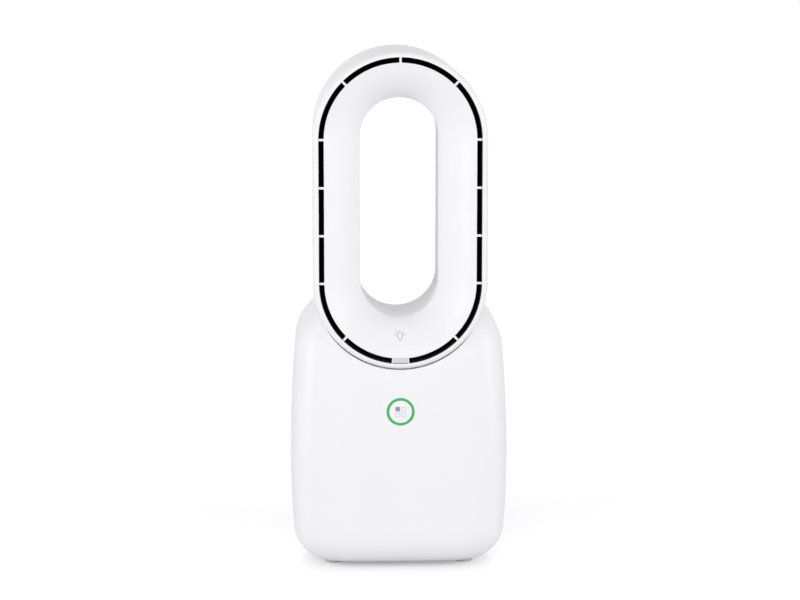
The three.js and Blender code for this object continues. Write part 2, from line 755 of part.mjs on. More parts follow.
/** Tube round the impeller, with the motor's nacelle held in its outlet by guide vanes. */
function impellerDuct() {
  const flare = bell_radius - duct_radius;
  const throat = bell_height + bell_rise;
  const tube = turned([
    ...arc(bell_radius, throat, flare, bell_rise, -90, -180, 4),
    [duct_radius, duct_spread_bottom], [duct_outlet_radius, duct_spread_top], [duct_outlet_radius, duct_top],
    [duct_outlet_radius + duct_wall, duct_top], [duct_outlet_radius + duct_wall, duct_spread_top],
    [duct_radius + duct_wall, duct_spread_bottom],
    ...arc(bell_radius, throat, flare - duct_wall, bell_rise - duct_wall, -180, -90, 4),
  ]);
  const inside = nacelle_radius - nacelle_wall;
  const nacelle = turned([
    [inside, nacelle_bottom], [nacelle_radius, nacelle_bottom], [nacelle_radius, nacelle_shoulder],
    ...arc(0, nacelle_shoulder, nacelle_radius, nacelle_top - nacelle_shoulder, 0, 90, 4).slice(1),
    [0, nacelle_shoulder + 2], [inside, nacelle_shoulder + 2],
  ].reverse());
  const vanes = Array.from({ length: guide_vanes }, (_, i) => guideVane(i));
  const ears = mount_places.map(([x, y]) => {
    const reach = Math.hypot(x, y);
    const turn = THREE.MathUtils.radToDeg(Math.atan2(y, x));
    const arm = box([bell_radius - duct_wall - 1, -ear_radius, 0], [reach, ear_radius, ear_thickness]);
    const pad = moved(ring(0, ear_radius, 0, ear_thickness, 16), reach, 0, 0);
    return moved(join(arm, pad).rotate([0, 0, turn]), 0, 0, ear_bottom);
  });
  const bore = ring(0, bell_radius - duct_wall - 0.5, bell_height - 1, bell_height + duct_wall / 2, 28);
  const ear_trim = turned([
    [0, bell_height - 1], [bell_radius - 0.5, bell_height - 1],
    ...arc(bell_radius, throat, flare, bell_rise, -90, -180, 4).slice(1),
    [0, throat],
  ]);
  const trimmed = ears.map((ear) => ear.subtract(ear_trim).subtract(bore));
  return cut(join(tube, nacelle, ...vanes, ...trimmed), motorLeadHole());
}

/** One swept blade: a thin upright plate, turned steadily about the axis as it rises. */
function impellerBlade(index) {
  const root = impeller_hub_bottom_radius - 3;
  const tip = duct_radius - impeller_tip_gap;
  const bottom = impeller_bottom + 1;
  const height = impeller_height - 2;
  const facets = [impeller_blade_spans, 1, impeller_blade_rows];
  const plate = new THREE.BoxGeometry(tip - root, impeller_blade_thickness, height, ...facets);
  plate.translate((tip + root) / 2, 0, height / 2);
  const corners = plate.attributes.position;
  const axis = new THREE.Vector3(0, 0, 1);
  const point = new THREE.Vector3();
  const start = degrees(impeller_blade_start) + (2 * Math.PI * index) / impeller_blades;
  for (let i = 0; i < corners.count; i += 1) {
    point.fromBufferAttribute(corners, i);
    const turn = start + degrees(impeller_blade_sweep) * (point.z / height);
    point.applyAxisAngle(axis, turn);
    corners.setXYZ(i, point.x, point.y, point.z + bottom);
  }
  return solid(plate);
}

function impeller() {
  const top = impeller_bottom + impeller_height;
  const hub = turned([
    [shaft_hole_radius, impeller_bottom], [impeller_hub_bottom_radius, impeller_bottom],
    [impeller_hub_bottom_radius + 3, impeller_bottom + impeller_height * 0.4],
    [impeller_hub_top_radius, top], [shaft_hole_radius, top],
  ], 3 * impeller_blades);
  const blades = Array.from({ length: impeller_blades }, (_, i) => impellerBlade(i));
  return join(hub, ...blades);
}

function impellerNut() {
  const nut = cut(ring(0, nut_radius, 0, nut_height, 6), ring(0, shaft_hole_radius, -1, nut_height + 1, 16));
  return moved(nut, 0, 0, impeller_bottom - clearance - nut_height);
}

function motorShaft() {
  return ring(0, shaft_radius, impeller_bottom - clearance - nut_height - 1, shaft_top, 16);
}

function bearing(bottom) {
  return ring(shaft_hole_radius, bearing_radius, bottom, bottom + bearing_height, 16);
}

const upper_bearing_bottom = can_top - bearing_height + clearance;
const lower_bearing_bottom = end_cap_bottom + clearance;

/** The can is a cup turned upside down, with the upper bearing's seat in its end. */
function motorCan() {
  const inside = motor_can_radius - motor_can_wall;
  const seat = bearing_radius + clearance;
  const end = can_top - motor_can_wall;
  return turned([
    [inside, can_bottom], [motor_can_radius, can_bottom], [motor_can_radius, can_top], [seat, can_top],
    [seat, upper_bearing_bottom], [seat + bearing_seat_wall, upper_bearing_bottom],
    [seat + bearing_seat_wall, end], [inside, end],
  ]);
}

/** The end cap closes the can and the nacelle from below, and seats the lower bearing. */
function motorEndCap() {
  const seat = bearing_radius + clearance;
  const rim = lower_bearing_bottom + bearing_height;
  return turned([
    [seat, end_cap_bottom], [nacelle_radius - 0.2, end_cap_bottom], [nacelle_radius - 0.2, end_cap_top],
    [seat + bearing_seat_wall, end_cap_top], [seat + bearing_seat_wall, rim], [seat, rim],
  ]);
}

function motorSleeve() {
  const inner = motor_can_radius + clearance;
  const outer = nacelle_radius - nacelle_wall - clearance;
  const sleeve = ring(inner, outer, can_bottom + 4, can_top - 3);
  return cut(sleeve, motorLeadHole());
}

function motorStator() {
  const outer = motor_can_radius - motor_can_wall - clearance;
  const tip = rotor_radius + rotor_gap;
  const shape = new THREE.Shape().absarc(0, 0, outer, 0, 2 * Math.PI);
  const pitch = (2 * Math.PI) / stator_teeth;
  const gap = outer - stator_back_width;
  const tooth = [[0, tip], [0.5, tip], [0.6, gap], [0.9, gap]]; // share of the pitch, and radius
  const inside = [];
  for (let i = 0; i < stator_teeth; i += 1) {
    for (const [share, radius] of tooth) {
      const angle = pitch * (i + share);
      inside.push(new THREE.Vector2(radius * Math.cos(angle), radius * Math.sin(angle)));
    }
  }
  shape.holes.push(new THREE.Path(inside));
  const core = new THREE.ExtrudeGeometry(shape, {
    depth: stator_height, bevelEnabled: false, curveSegments: 28,
  });
  return solid(core.translate(0, 0, mid_motor - stator_height / 2));
}

function motorRotor() {
  const half = stator_height / 2;
  return ring(shaft_hole_radius, rotor_radius, mid_motor - half, mid_motor + half, 20);
}

// ---------------------------------------------------------------- neck

const seal_bottom = duct_top + clearance;
const neck_bottom = seal_bottom + seal_height + clearance;

function ductSeal() {
  return ring(duct_outlet_radius, duct_outlet_radius + duct_wall, seal_bottom, seal_bottom + seal_height);
}

/** A tube that starts round on the duct and ends as the oval that enters the loop. */
function neckDuct() {
  const round = duct_outlet_radius + duct_wall;
  const columns = 32;
  const section = (shrink) => [
    { z: neck_bottom, a: round - shrink, b: round - shrink, n: 2 },
    { z: neck_bottom + 8, a: round - shrink - 3, b: round - shrink - 1.5, n: 2.3 },
    { z: neck_oval_bottom, a: neck_half_width - shrink, b: neck_half_depth - shrink, n: neck_squareness },
    { z: neck_top, a: neck_half_width - shrink, b: neck_half_depth - shrink, n: neck_squareness },
  ];
  const rows = [...section(0), ...section(neck_wall).reverse()];
  const plans = rows.map((row) => planPoints(row.a, row.b, row.n, columns));
  const place = (u, v, target) => {
    const row = Math.round(v * rows.length) % rows.length;
    const [x, y] = plans[row][Math.round(u * columns) % columns];
    target.set(x, y, rows[row].z);
  };
  return solid(new ParametricGeometry(place, columns, rows.length));
}

// ---------------------------------------------------------------- boards, inlet and button

/** Main board with its capacitor, coil, chips and three connectors. */
function mainBoard() {
  const bottom = chassis_top + main_board_lift;
  const y = main_board_y;
  const half_width = main_board_width / 2;
  const half_depth = main_board_depth / 2;
  const board = box([-half_width, y - half_depth, bottom], [half_width, y + half_depth, board_top]);
  const root = board_top - board_thickness / 3;
  const block = ([x, dy, width, depth, height]) => box(
    [x - width / 2, y + dy - depth / 2, root],
    [x + width / 2, y + dy + depth / 2, board_top + height],
  );
  const can = ring(0, capacitor_radius, root, board_top + capacitor_height, 16);
  const plugs = [
    [inlet_plug_x, inlet_plug_y - y],
    [button_plug_x, button_plug_y - y],
    [motor_plug_x, motor_plug_y - y],
  ].map((place) => [...place, plug_width, plug_depth, plug_height]);
  const chips = [coil, driver_chip, regulator, ...plugs].map(block);
  return join(board, moved(can, capacitor_x, y + capacitor_y, 0), ...chips);
}

/** Barrel socket: a collar in the housing's wall, a pin in its bore and a block behind. */
function powerInlet() {
  const face = rearToeFace(inlet_height) - inlet_sink;
  const back = face - inlet_length;
  const half = inlet_block_width / 2;
  const block = box(
    [-half, back, inlet_height - half],
    [half, back + inlet_block_length, inlet_height + half],
  );
  const along = (body, y) => moved(laidBack(body), 0, y, inlet_height);
  const collar = along(ring(0, inlet_radius, 0, inlet_length - 1, 20), back + 1);
  const flange_back = rearToeFace(inlet_height - inlet_flange_radius, base_wall) - inlet_flange_gap;
  const flange_y = flange_back - inlet_flange_thickness;
  const flange = along(ring(0, inlet_flange_radius, 0, inlet_flange_thickness, 20), flange_y);
  const gap = ring(inlet_pin_radius, inlet_bore_radius, 0, inlet_bore_depth + 1, 16);
  const bore = along(gap, face - inlet_bore_depth);
  return cut(join(block, collar, flange), bore);
}

const button_face = frontFace(button_height);

/** Places a solid, made upright from zero, behind the front face on the button's axis. */
const onButtonAxis = (body, depth, x = 0) => moved(laidBack(body), x, button_face + depth, button_height);

function buttonRing() {
  const inner = button_ring_radius - button_ring_width;
  const tube = ring(inner, button_ring_radius, -button_proud, button_ring_length);
  const flange_front = base_wall + 2 * clearance;
  const flange = ring(inner, button_flange_radius, flange_front, flange_front + button_flange_thickness);
  return onButtonAxis(join(tube, flange), 0);
}

function buttonCap() {
  const radius = button_ring_radius - button_ring_width - clearance;
  return onButtonAxis(turned([
    [0, -button_proud - button_dome], [radius * 0.6, -button_proud - button_dome * 0.7],
    [radius - 0.4, -button_proud], [radius, 0.3], [radius, button_thickness],
    [button_stem_radius, button_thickness], [button_stem_radius, button_stem_length], [0, button_stem_length],
  ]), 0);
}

function switchPlunger() {
  return onButtonAxis(ring(0, plunger_radius, 0, plunger_length, 16), button_stem_length + clearance);
}

function buttonSwitch() {
  const half = switch_size / 2;
  const block = box([-half, 0, -half], [half, switch_depth, half]);
  const body = moved(block, 0, button_face + switch_face, button_height);
  const bore = onButtonAxis(ring(0, plunger_radius + clearance, -1, switch_bore_depth, 16), switch_face);
  return cut(body, bore);
}

const button_board_front = switch_face + switch_depth + clearance;

function buttonBoard() {
  const half_width = button_board_width / 2;
  const half_height = button_board_height / 2;
  const front = button_face + button_board_front;
  const board = box(
    [-half_width, front, button_height - half_height],
    [half_width, front + board_thickness, button_height + half_height],
  );
  const holes = [-button_screw_x, button_screw_x].map((x) => (
    onButtonAxis(ring(0, small_screw_radius + clearance, -5, 20, 10), button_board_front, x)
  ));
  return cut(board, ...holes);
}

/** A small screw whose head lies behind the button board and whose tip points forwards. */
function buttonScrew(x) {
  const head = [small_screw_head_radius, small_screw_head_height];
  const upright = screw(small_screw_radius, ...head, small_screw_length);
  const forwards = upright.rotate([90, 0, 0]);
  return moved(forwards, x, button_face + button_board_front + board_thickness + clearance, button_height);
}

// ---------------------------------------------------------------- leads

function inletLead() {
  const start = rearToeFace(inlet_height) - inlet_sink - inlet_length - clearance;
  const plug_face = inlet_plug_y + plug_depth / 2 + clearance;
  const height = board_top + plug_height / 2;
  return lead([
    [0, start, inlet_height], [0, start - 8, inlet_height], [inlet_plug_x / 2, start - 18, inlet_height + 1],
    [inlet_plug_x, plug_face + 8, height], [inlet_plug_x, plug_face, height],
  ]);
}

function buttonLead() {
  const top = button_height - button_board_height / 2 - clearance;
  const y = button_face + button_board_front + board_thickness / 2;
  const start = plug_top + clearance;
  return lead([
    [button_plug_x, button_plug_y, start], [button_plug_x, button_plug_y, start + lead_rise],
    [button_plug_x, y + 5, start + 10], [-11, y - 1, start + 26],
    [-8, y - 1, top - 26], [-6, y, top - 9], [-6, y, top],
  ]);
}

function touchLead() {
  const bottom = button_height + button_board_height / 2 + clearance;
  const y = button_face + button_board_front + board_thickness / 2;
  const { point, run } = funnelMiddle();
  const lift = loop_wall + touch_board_gap + touch_board_thickness + clearance;
  const end_y = loop_front + point.y + run.x * lift;
  const end_z = loop_low - point.x + run.y * lift;
  return lead([
    [touch_lead_x, y, bottom], [touch_lead_x, y + 1.5, bottom + 5], [touch_lead_x, touch_lead_y, bottom + 12],
    [touch_lead_x, touch_lead_y, loop_low - loop_half_width + 6],
    [touch_lead_x - 1, end_y + 4, end_z - 4], [touch_lead_x - 2, end_y + 0.8, end_z - 0.8],
  ]);
}

function motorLead() {
  const around = (radius, angle, z) => [radius * Math.cos(angle), radius * Math.sin(angle), z];
  const outside = duct_outlet_radius + duct_wall + 5;
  const plug = [motor_plug_x, motor_plug_y, plug_top + clearance];
  return lead([
    plug, [plug[0], plug[1], plug[2] + lead_rise], around(bell_radius - 5, lead_angle + 0.1, plug[2] + 6),
    around(bell_radius + 5, lead_angle, bell_height + 4),
    around(outside, lead_angle, bell_height + 26), around(outside, lead_angle, lead_entry_height - 10),
    around(outside - 1.5, lead_angle, lead_entry_height - 2),
    around(duct_outlet_radius, lead_angle, lead_entry_height),
    around(nacelle_radius + 8, lead_angle, lead_entry_height),
    around(motor_can_radius + clearance, lead_angle, lead_entry_height),
  ]);
}

// ---------------------------------------------------------------- materials and assembly

const finish = (color, roughness, metalness = 0) => () => (
  new THREE.MeshStandardMaterial({ color, roughness, metalness })
);
const white_plastic = finish(0xf3f3f6, 0.35);
const black_plastic = finish(0x17171a, 0.5);
const grey_plastic = finish(0xc9cacf, 0.55);
const frosted_plastic = finish(0xd3d4d8, 0.6);
const green_light = finish(0x2bb457, 0.3);
const black_rubber = finish(0x2b2b2e, 0.85);
const circuit_green = finish(0x1f5b3a, 0.5);
const steel = finish(0x9fa3a8, 0.35, 1);
const dark_steel = finish(0x4a4c50, 0.45, 1);
const lead_jacket = finish(0x242426, 0.6);

const fan = new THREE.Group();

/** Adds one named piece to the fan. */
function piece(name, body, material, position = [0, 0, 0]) {
  const mesh = new THREE.Mesh(geometryOf(body), material());
  mesh.name = name;
  mesh.position.set(...position);
  fan.add(mesh);
}

piece('loop_outer_shell', loopOuterShell(), white_plastic);
piece('loop_inner_shell', loopInnerShell(), white_plastic);
piece('slot_liner', slotLiner(), black_plastic);
piece('slot_window', slotWindow(), frosted_plastic);
piece('touch_board', touchBoard(), circuit_green);
piece('front_housing', frontHousing(), white_plastic);
piece('rear_housing', rearHousing(), white_plastic);
piece('intake_grille', intakeGrille(), white_plastic);
piece('saddle', saddle(), white_plastic);
piece('chassis_plate', chassisPlate(), grey_plastic);
piece('impeller_duct', impellerDuct(), grey_plastic);
piece('duct_seal', ductSeal(), black_rubber);
piece('neck_duct', neckDuct(), grey_plastic);
piece('impeller', impeller(), black_plastic);
piece('impeller_nut', impellerNut(), steel);
piece('motor_shaft', motorShaft(), steel);
piece('motor_rotor', motorRotor(), dark_steel);
piece('motor_stator', motorStator(), dark_steel);
piece('motor_can', motorCan(), steel);
piece('motor_end_cap', motorEndCap(), grey_plastic);
piece('motor_sleeve', motorSleeve(), black_rubber);
piece('upper_bearing', bearing(upper_bearing_bottom), steel);
piece('lower_bearing', bearing(lower_bearing_bottom), steel);
piece('main_board', mainBoard(), circuit_green);
piece('power_inlet', powerInlet(), black_plastic);
piece('button_ring', buttonRing(), green_light);
piece('button_cap', buttonCap(), white_plastic);
piece('switch_plunger', switchPlunger(), black_plastic);
piece('button_switch', buttonSwitch(), black_plastic);
piece('button_board', buttonBoard(), circuit_green);
piece('inlet_lead', inletLead(), lead_jacket);
piece('button_lead', buttonLead(), lead_jacket);
piece('touch_lead', touchLead(), lead_jacket);
piece('motor_lead', motorLead(), lead_jacket);

const corner_names = ['front_left', 'front_right', 'rear_left', 'rear_right'];
const base_screw_seat = foot_height + 2 * clearance + screw_head_height - clearance;
corner_names.forEach((corner, i) => {
  const [x, y] = foot_places[i];
  const fastener = screw(screw_radius, screw_head_radius, screw_head_height - clearance, base_screw_length);
  piece(`foot_${corner}`, foot(), black_rubber, [x, y, 0]);
  piece(`base_screw_${corner}`, fastener, steel, [x, y, base_screw_seat]);
  piece(`duct_mount_${corner}`, ductMount(), black_rubber, [...mount_places[i], post_top + clearance]);
});

for (const [end, y] of [['front', -loop_screw_y], ['rear', loop_screw_y]]) {
  const fastener = screw(screw_radius, screw_head_radius, screw_head_height, loop_screw_length);
  piece(`loop_screw_${end}`, fastener, steel, [0, y, loop_screw_seat]);
}
for (const [side, x] of [['left', -button_screw_x], ['right', button_screw_x]]) {
  piece(`button_screw_${side}`, buttonScrew(x), steel);
}

export default fan;
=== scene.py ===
# %% [markdown]
# # A bladeless table fan
#
# The fan is an upright oval loop that stands in a soft, rounded box. Air leaves the loop through a
# narrow slot near its edge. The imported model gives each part's place and how it moves. This
# lesson gives the parts that show their fine surfaces and their finishes.

import json
import math

import bmesh
import bpy
import numpy as np
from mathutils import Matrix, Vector


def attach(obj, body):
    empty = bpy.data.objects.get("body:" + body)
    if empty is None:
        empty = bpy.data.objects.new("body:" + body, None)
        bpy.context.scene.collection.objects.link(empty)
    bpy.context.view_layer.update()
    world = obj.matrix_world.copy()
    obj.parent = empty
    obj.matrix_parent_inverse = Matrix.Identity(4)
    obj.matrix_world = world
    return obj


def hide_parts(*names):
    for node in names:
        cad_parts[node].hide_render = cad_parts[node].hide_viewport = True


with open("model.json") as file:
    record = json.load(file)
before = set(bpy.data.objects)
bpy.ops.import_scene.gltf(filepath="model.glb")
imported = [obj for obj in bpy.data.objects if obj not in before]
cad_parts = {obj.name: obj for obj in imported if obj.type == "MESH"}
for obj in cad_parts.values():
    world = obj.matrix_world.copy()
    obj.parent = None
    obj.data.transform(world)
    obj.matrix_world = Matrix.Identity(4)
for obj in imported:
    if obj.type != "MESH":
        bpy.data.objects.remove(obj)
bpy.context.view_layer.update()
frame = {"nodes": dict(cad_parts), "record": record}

# %% [markdown]
# ## Sizes
#
# All sizes are in millimetres, as on a maker's drawing, and each is written once. The mesh helpers
# turn them into metres. X runs to the right, Y runs back and Z runs up.

# %% Sizes of the loop, the base and the button
MM = 0.001

LOOP_BOTTOM = 144.3
LOOP_HALF_WIDTH = 60.1
LOOP_STRAIGHT = 98.5
LOOP_DEPTH = 126.0
LOOP_REAR_DRAFT = 0.4
LOOP_WALL = 2.2
LIP_FLAT, LIP_ROUND_WIDTH, LIP_ROUND_DEPTH, LIP_EDGE = 0.85, 3.4, 6.0, 0.15
SLOT_WIDTH = 3.7
THROAT_FRONT, THROAT_REAR = 27.2, 27.9
THROAT_FRONT_DEPTH, THROAT_REAR_DEPTH = 25.0, 74.0
FUNNEL_EDGE_DEPTH = 0.5
FUNNEL_PULL = (THROAT_FRONT + 10.2, FUNNEL_EDGE_DEPTH + 6.8)
NOSE_HALF_WIDTH, NOSE_DEPTH = 44.0, 18.0
SEAM_ANGLE, SEAM_GAP = 35.0, 0.9
SLOT_WALL_DEPTH, SLOT_WALL = 3.0, 1.0

LOOP_LOW = LOOP_BOTTOM + LOOP_HALF_WIDTH
LOOP_HIGH = LOOP_LOW + LOOP_STRAIGHT
LOOP_FRONT = -LOOP_DEPTH / 2
SLOT_OUTER = LOOP_HALF_WIDTH - LIP_ROUND_WIDTH - LIP_FLAT
SLOT_INNER = SLOT_OUTER - SLOT_WIDTH
SLOT_MIDDLE = SLOT_OUTER - SLOT_WIDTH / 2

BASE_WIDTH, BASE_DEPTH = 152.6, 128.0
BASE_BOTTOM, BASE_TOP = 2.0, LOOP_BOTTOM + 45.7
BASE_SQUARENESS = 5.5
BELLY_HEIGHT, BELLY_TOP, BELLY_BOTTOM = 75.5, 7.0, 4.4
SHOULDER_RADIUS, TOE_RADIUS = 33.0, 25.0
BASE_WALL = 2.5
NOTCH_RADIUS = LOOP_HALF_WIDTH + 0.45
FRONT_SEAM_Y, REAR_SEAM_Y = 11.85, 12.15

BUTTON_HEIGHT = LOOP_BOTTOM - 29.3
print("loop:", LOOP_LOW, LOOP_HIGH, "slot:", SLOT_INNER, SLOT_OUTER)

# %% [markdown]
# ## The camera
#
# The photograph was taken from far away with a long lens, a little from the fan's own right and a
# little from above. The lens's length in pixels was found from the loop, its throat and its rear
# edge. The picture is taken to be 800 pixels wide.

# %% Camera
CAMERA_DISTANCE = 1600.0
CAMERA_YAW, CAMERA_PITCH = math.radians(2.2), math.radians(8.8)
CAMERA_AIM = np.array([-0.43, LOOP_FRONT, 193.1])
PIXELS_PER_MM, PICTURE_WIDTH, SENSOR_WIDTH = 1.4595, 800, 36.0

sight = np.array([
    math.sin(CAMERA_YAW) * math.cos(CAMERA_PITCH),
    math.cos(CAMERA_YAW) * math.cos(CAMERA_PITCH),
    -math.sin(CAMERA_PITCH),
])
camera_data = bpy.data.cameras.new("camera")
camera_data.sensor_width = SENSOR_WIDTH
camera_data.lens = PIXELS_PER_MM * CAMERA_DISTANCE * SENSOR_WIDTH / PICTURE_WIDTH
camera_data.clip_end = 60.0
camera = bpy.data.objects.new("camera", camera_data)
camera.location = Vector((CAMERA_AIM - CAMERA_DISTANCE * sight) * MM)
camera.rotation_euler = Vector(sight).to_track_quat("-Z", "Y").to_euler()
bpy.context.scene.collection.objects.link(camera)
bpy.context.scene.camera = camera
bpy.context.scene.view_settings.view_transform = "Standard"
print("lens:", round(camera_data.lens, 1), "camera at", [round(v, 3) for v in camera.location])

# %% [markdown]
# ## Helpers for surfaces
#
# Each new piece is a grid of points that numpy works out at once. One helper puts such a grid into
# a mesh, closes its seams and poles, and turns its faces outwards. Edges sharper than a given
# angle stay crisp, and all others are shaded smooth.

# %% Grid to mesh
WELD = 0.004


def quads_of(rows, columns, wrap_rows=False, wrap_columns=False):
    """Corner numbers of each quad of a grid, with the last row or column joined to the first if asked."""
    i = np.arange(rows if wrap_rows else rows - 1)[:, None]
    j = np.arange(columns if wrap_columns else columns - 1)[None, :]
    below, beside = (i + 1) % rows, (j + 1) % columns
    return np.stack([i * columns + j, i * columns + beside, below * columns + beside,
                     below * columns + j], axis=-1)


def make_piece(name, parts, crisp=28.0):
    """One closed object from several (points, quads) pairs, in millimetres. Seams are welded and
    faces are turned outwards; edges that turn by more than crisp degrees stay sharp."""
    points = np.concatenate([np.reshape(p, (-1, 3)) for p, _ in parts]) * MM
    starts = np.cumsum([0] + [np.reshape(p, (-1, 3)).shape[0] for p, _ in parts[:-1]])
    quads = np.concatenate([np.reshape(q, (-1, 4)) + s for (_, q), s in zip(parts, starts)])
    mesh = bpy.data.meshes.new(name)
    mesh.vertices.add(len(points))
    mesh.vertices.foreach_set("co", points.astype(np.float32).ravel())
    mesh.loops.add(quads.size)
    mesh.loops.foreach_set("vertex_index", quads.astype(np.int32).ravel())
    mesh.polygons.add(len(quads))
    mesh.polygons.foreach_set("loop_start", np.arange(0, quads.size, 4, dtype=np.int32))
    mesh.update(calc_edges=True)
    tidy_mesh(mesh, crisp)
    piece = bpy.data.objects.new(name, mesh)
    bpy.context.scene.collection.objects.link(piece)
    return piece


def tidy_mesh(mesh, crisp):
    """Welds doubles, removes faces without area, turns faces outwards and marks crisp edges."""
    shape = bmesh.new()
    shape.from_mesh(mesh)
    bmesh.ops.remove_doubles(shape, verts=shape.verts, dist=WELD * MM)
    bmesh.ops.dissolve_degenerate(shape, dist=WELD * MM / 4, edges=shape.edges)
    bmesh.ops.recalc_face_normals(shape, faces=shape.faces)
    shape.to_mesh(mesh)
    shape.free()
    mesh.polygons.foreach_set("use_smooth", np.ones(len(mesh.polygons), bool))
    mesh.set_sharp_from_angle(angle=math.radians(crisp))


def arc(centre, radii, start, end, steps):
    """Points on part of an ellipse, from a start angle to an end angle in degrees."""
    angle = np.radians(np.linspace(start, end, steps + 1))
    return np.stack([centre[0] + radii[0] * np.cos(angle), centre[1] + radii[1] * np.sin(angle)], 1)


def turned(profile, segments=96):
    """A closed profile of [radius, height] points turned about the Z axis, as (points, quads)."""
    profile = np.asarray(profile, float)
    angle = np.linspace(0, 2 * np.pi, segments, endpoint=False)[:, None]
    points = np.stack([profile[:, 0] * np.cos(angle), profile[:, 0] * np.sin(angle),
                       np.broadcast_to(profile[:, 1], (segments, len(profile)))], -1)
    return points, quads_of(segments, len(profile), wrap_rows=True, wrap_columns=True)


def laid_back(part, y, z):
    """Lays an upright part down, so that its height runs along +Y, and moves it by y and z."""
    points, quads = part
    return np.stack([points[..., 0], points[..., 2] + y, z - points[..., 1]], -1), quads


def block(low, high):
    """A plain box between two corners, as (points, quads), to be turned, bevelled or cut with."""
    grid = np.array([[x, y, z] for x in (low[0], high[0]) for y in (low[1], high[1])
                     for z in (low[2], high[2])], float)
    faces = [[0, 1, 3, 2], [4, 6, 7, 5], [0, 4, 5, 1], [2, 3, 7, 6], [0, 2, 6, 4], [1, 5, 7, 3]]
    return grid, np.array(faces)


# %% [markdown]
# A few openings, such as the button's hole and the slots of the air intake, are cut with
# Blender's Boolean modifier. The result replaces the mesh at once, so no live modifier is left.

# %% Cut, bevel and settle helpers
def settle(piece, crisp=28.0):
    """Puts the result of a piece's modifiers into its mesh and removes the modifiers."""
    graph = bpy.context.evaluated_depsgraph_get()
    mesh = bpy.data.meshes.new_from_object(piece.evaluated_get(graph))
    mesh.name = piece.name
    piece.modifiers.clear()
    piece.data = mesh
    mesh.polygons.foreach_set("use_smooth", np.ones(len(mesh.polygons), bool))
    mesh.set_sharp_from_angle(angle=math.radians(crisp))
    return piece


def carve(piece, parts):
    """Cuts the closed parts out of a piece."""
    cutter = make_piece("cutter", parts)
    modifier = piece.modifiers.new("carve", "BOOLEAN")
    modifier.operation, modifier.solver, modifier.object = "DIFFERENCE", "EXACT", cutter
    settle(piece)
    bpy.data.objects.remove(cutter)


def soften(piece, width, segments=2, angle=40.0, crisp=60.0):
    """Rounds a piece's sharp edges by a width in millimetres."""
    modifier = piece.modifiers.new("soften", "BEVEL")
    modifier.width, modifier.segments = width * MM, segments
    modifier.limit_method, modifier.angle_limit = "ANGLE", math.radians(angle)
    return settle(piece, crisp)


# %% [markdown]
# ## Finishes
#
# The casing is satin white plastic. Moulded plastic is never quite even: its gloss wanders a
# little and its surface has a very fine grain, so each finish has a slow noise in its roughness
# and a fine noise as a bump. A picture could do this too, but noise has no seams. All of them read
# Object coordinates, which stay with the piece.

# %% Finish helper
DRIFT_SIZE, BUMP_STRENGTH = 30.0, 0.25


def finish(name, color, roughness, grain=0.02, grain_size=0.5, drift=0.05, tint=0.02,
           metallic=0.0, stretch=(1, 1, 1), gloss=0.5):
    """A procedural finish: a colour that drifts slightly, a roughness that wanders by drift, and a
    fine bump. grain is the bump's height and grain_size its size, both in millimetres."""
    material = bpy.data.materials.new(name)
    material.use_nodes = True
    nodes, links = material.node_tree.nodes, material.node_tree.links
    shader = nodes["Principled BSDF"]
    shader.inputs["Metallic"].default_value = metallic
    shader.inputs["Specular IOR Level"].default_value = gloss
    place = nodes.new("ShaderNodeTexCoord")
    mapping = nodes.new("ShaderNodeMapping")
    mapping.inputs["Scale"].default_value = stretch
    links.new(place.outputs["Object"], mapping.inputs["Vector"])

    def noise(size, detail):
        node = nodes.new("ShaderNodeTexNoise")
        node.inputs["Scale"].default_value = 1 / (size * MM)
        node.inputs["Detail"].default_value = detail
        links.new(mapping.outputs["Vector"], node.inputs["Vector"])
        return node

    slow, fine = noise(DRIFT_SIZE, 3.0), noise(grain_size, 2.0)
    ramp = nodes.new("ShaderNodeMapRange")
    ramp.inputs["To Min"].default_value = roughness - drift
    ramp.inputs["To Max"].default_value = roughness + drift
    links.new(slow.outputs["Fac"], ramp.inputs["Value"])
    links.new(ramp.outputs["Result"], shader.inputs["Roughness"])
    mix = nodes.new("ShaderNodeMix")
    mix.data_type = "RGBA"
    mix.inputs[6].default_value = (*[c * (1 - tint) for c in color], 1)
    mix.inputs[7].default_value = (*[min(c * (1 + tint), 1) for c in color], 1)
    links.new(slow.outputs["Fac"], mix.inputs[0])
    links.new(mix.outputs[2], shader.inputs["Base Color"])
    bump = nodes.new("ShaderNodeBump")
    bump.inputs["Strength"].default_value = BUMP_STRENGTH
    bump.inputs["Distance"].default_value = grain * MM
    links.new(fine.outputs["Fac"], bump.inputs["Height"])
    links.new(bump.outputs["Normal"], shader.inputs["Normal"])
    return material


# %% [markdown]
# The record names ten finishes. The light ring glows a little by itself, so its shader has a
# constant emission.

# %% The finishes
RING_GLOW = 0.32
finishes = {
    "white_plastic": finish("satin_white", (0.886, 0.880, 0.900), 0.36, grain=0.012, tint=0.006,
                            gloss=0.4),
    "black_plastic": finish("matt_black", (0.006, 0.006, 0.006), 0.55, grain=0.03),
    "grey_plastic": finish("light_grey_plastic", (0.52, 0.53, 0.56), 0.5, grain=0.03),
    # The insert's grey is painted shade on white plastic that sits back in the slot.
    "frosted_plastic": finish("insert_grey_painted_shade", (0.66, 0.66, 0.70), 0.6, grain=0.05, grain_size=0.3),
    "green_light": finish("green_light_ring", (0.02, 0.36, 0.08), 0.3, grain=0.01),
    "black_rubber": finish("grey_rubber", (0.60, 0.59, 0.59), 0.8, grain=0.06, grain_size=0.35),
    "circuit_green": finish("circuit_board", (0.02, 0.12, 0.05), 0.45, grain=0.05, tint=0.2),
    "steel": finish("plain_steel", (0.55, 0.56, 0.58), 0.3, metallic=1.0, grain_size=0.4),
    "dark_steel": finish("coated_steel", (0.14, 0.14, 0.15), 0.45, metallic=1.0,
                         grain_size=0.35, stretch=(1, 1, 12)),
    "lead_jacket": finish("lead_jacket", (0.02, 0.02, 0.02), 0.6, grain=0.03),
}
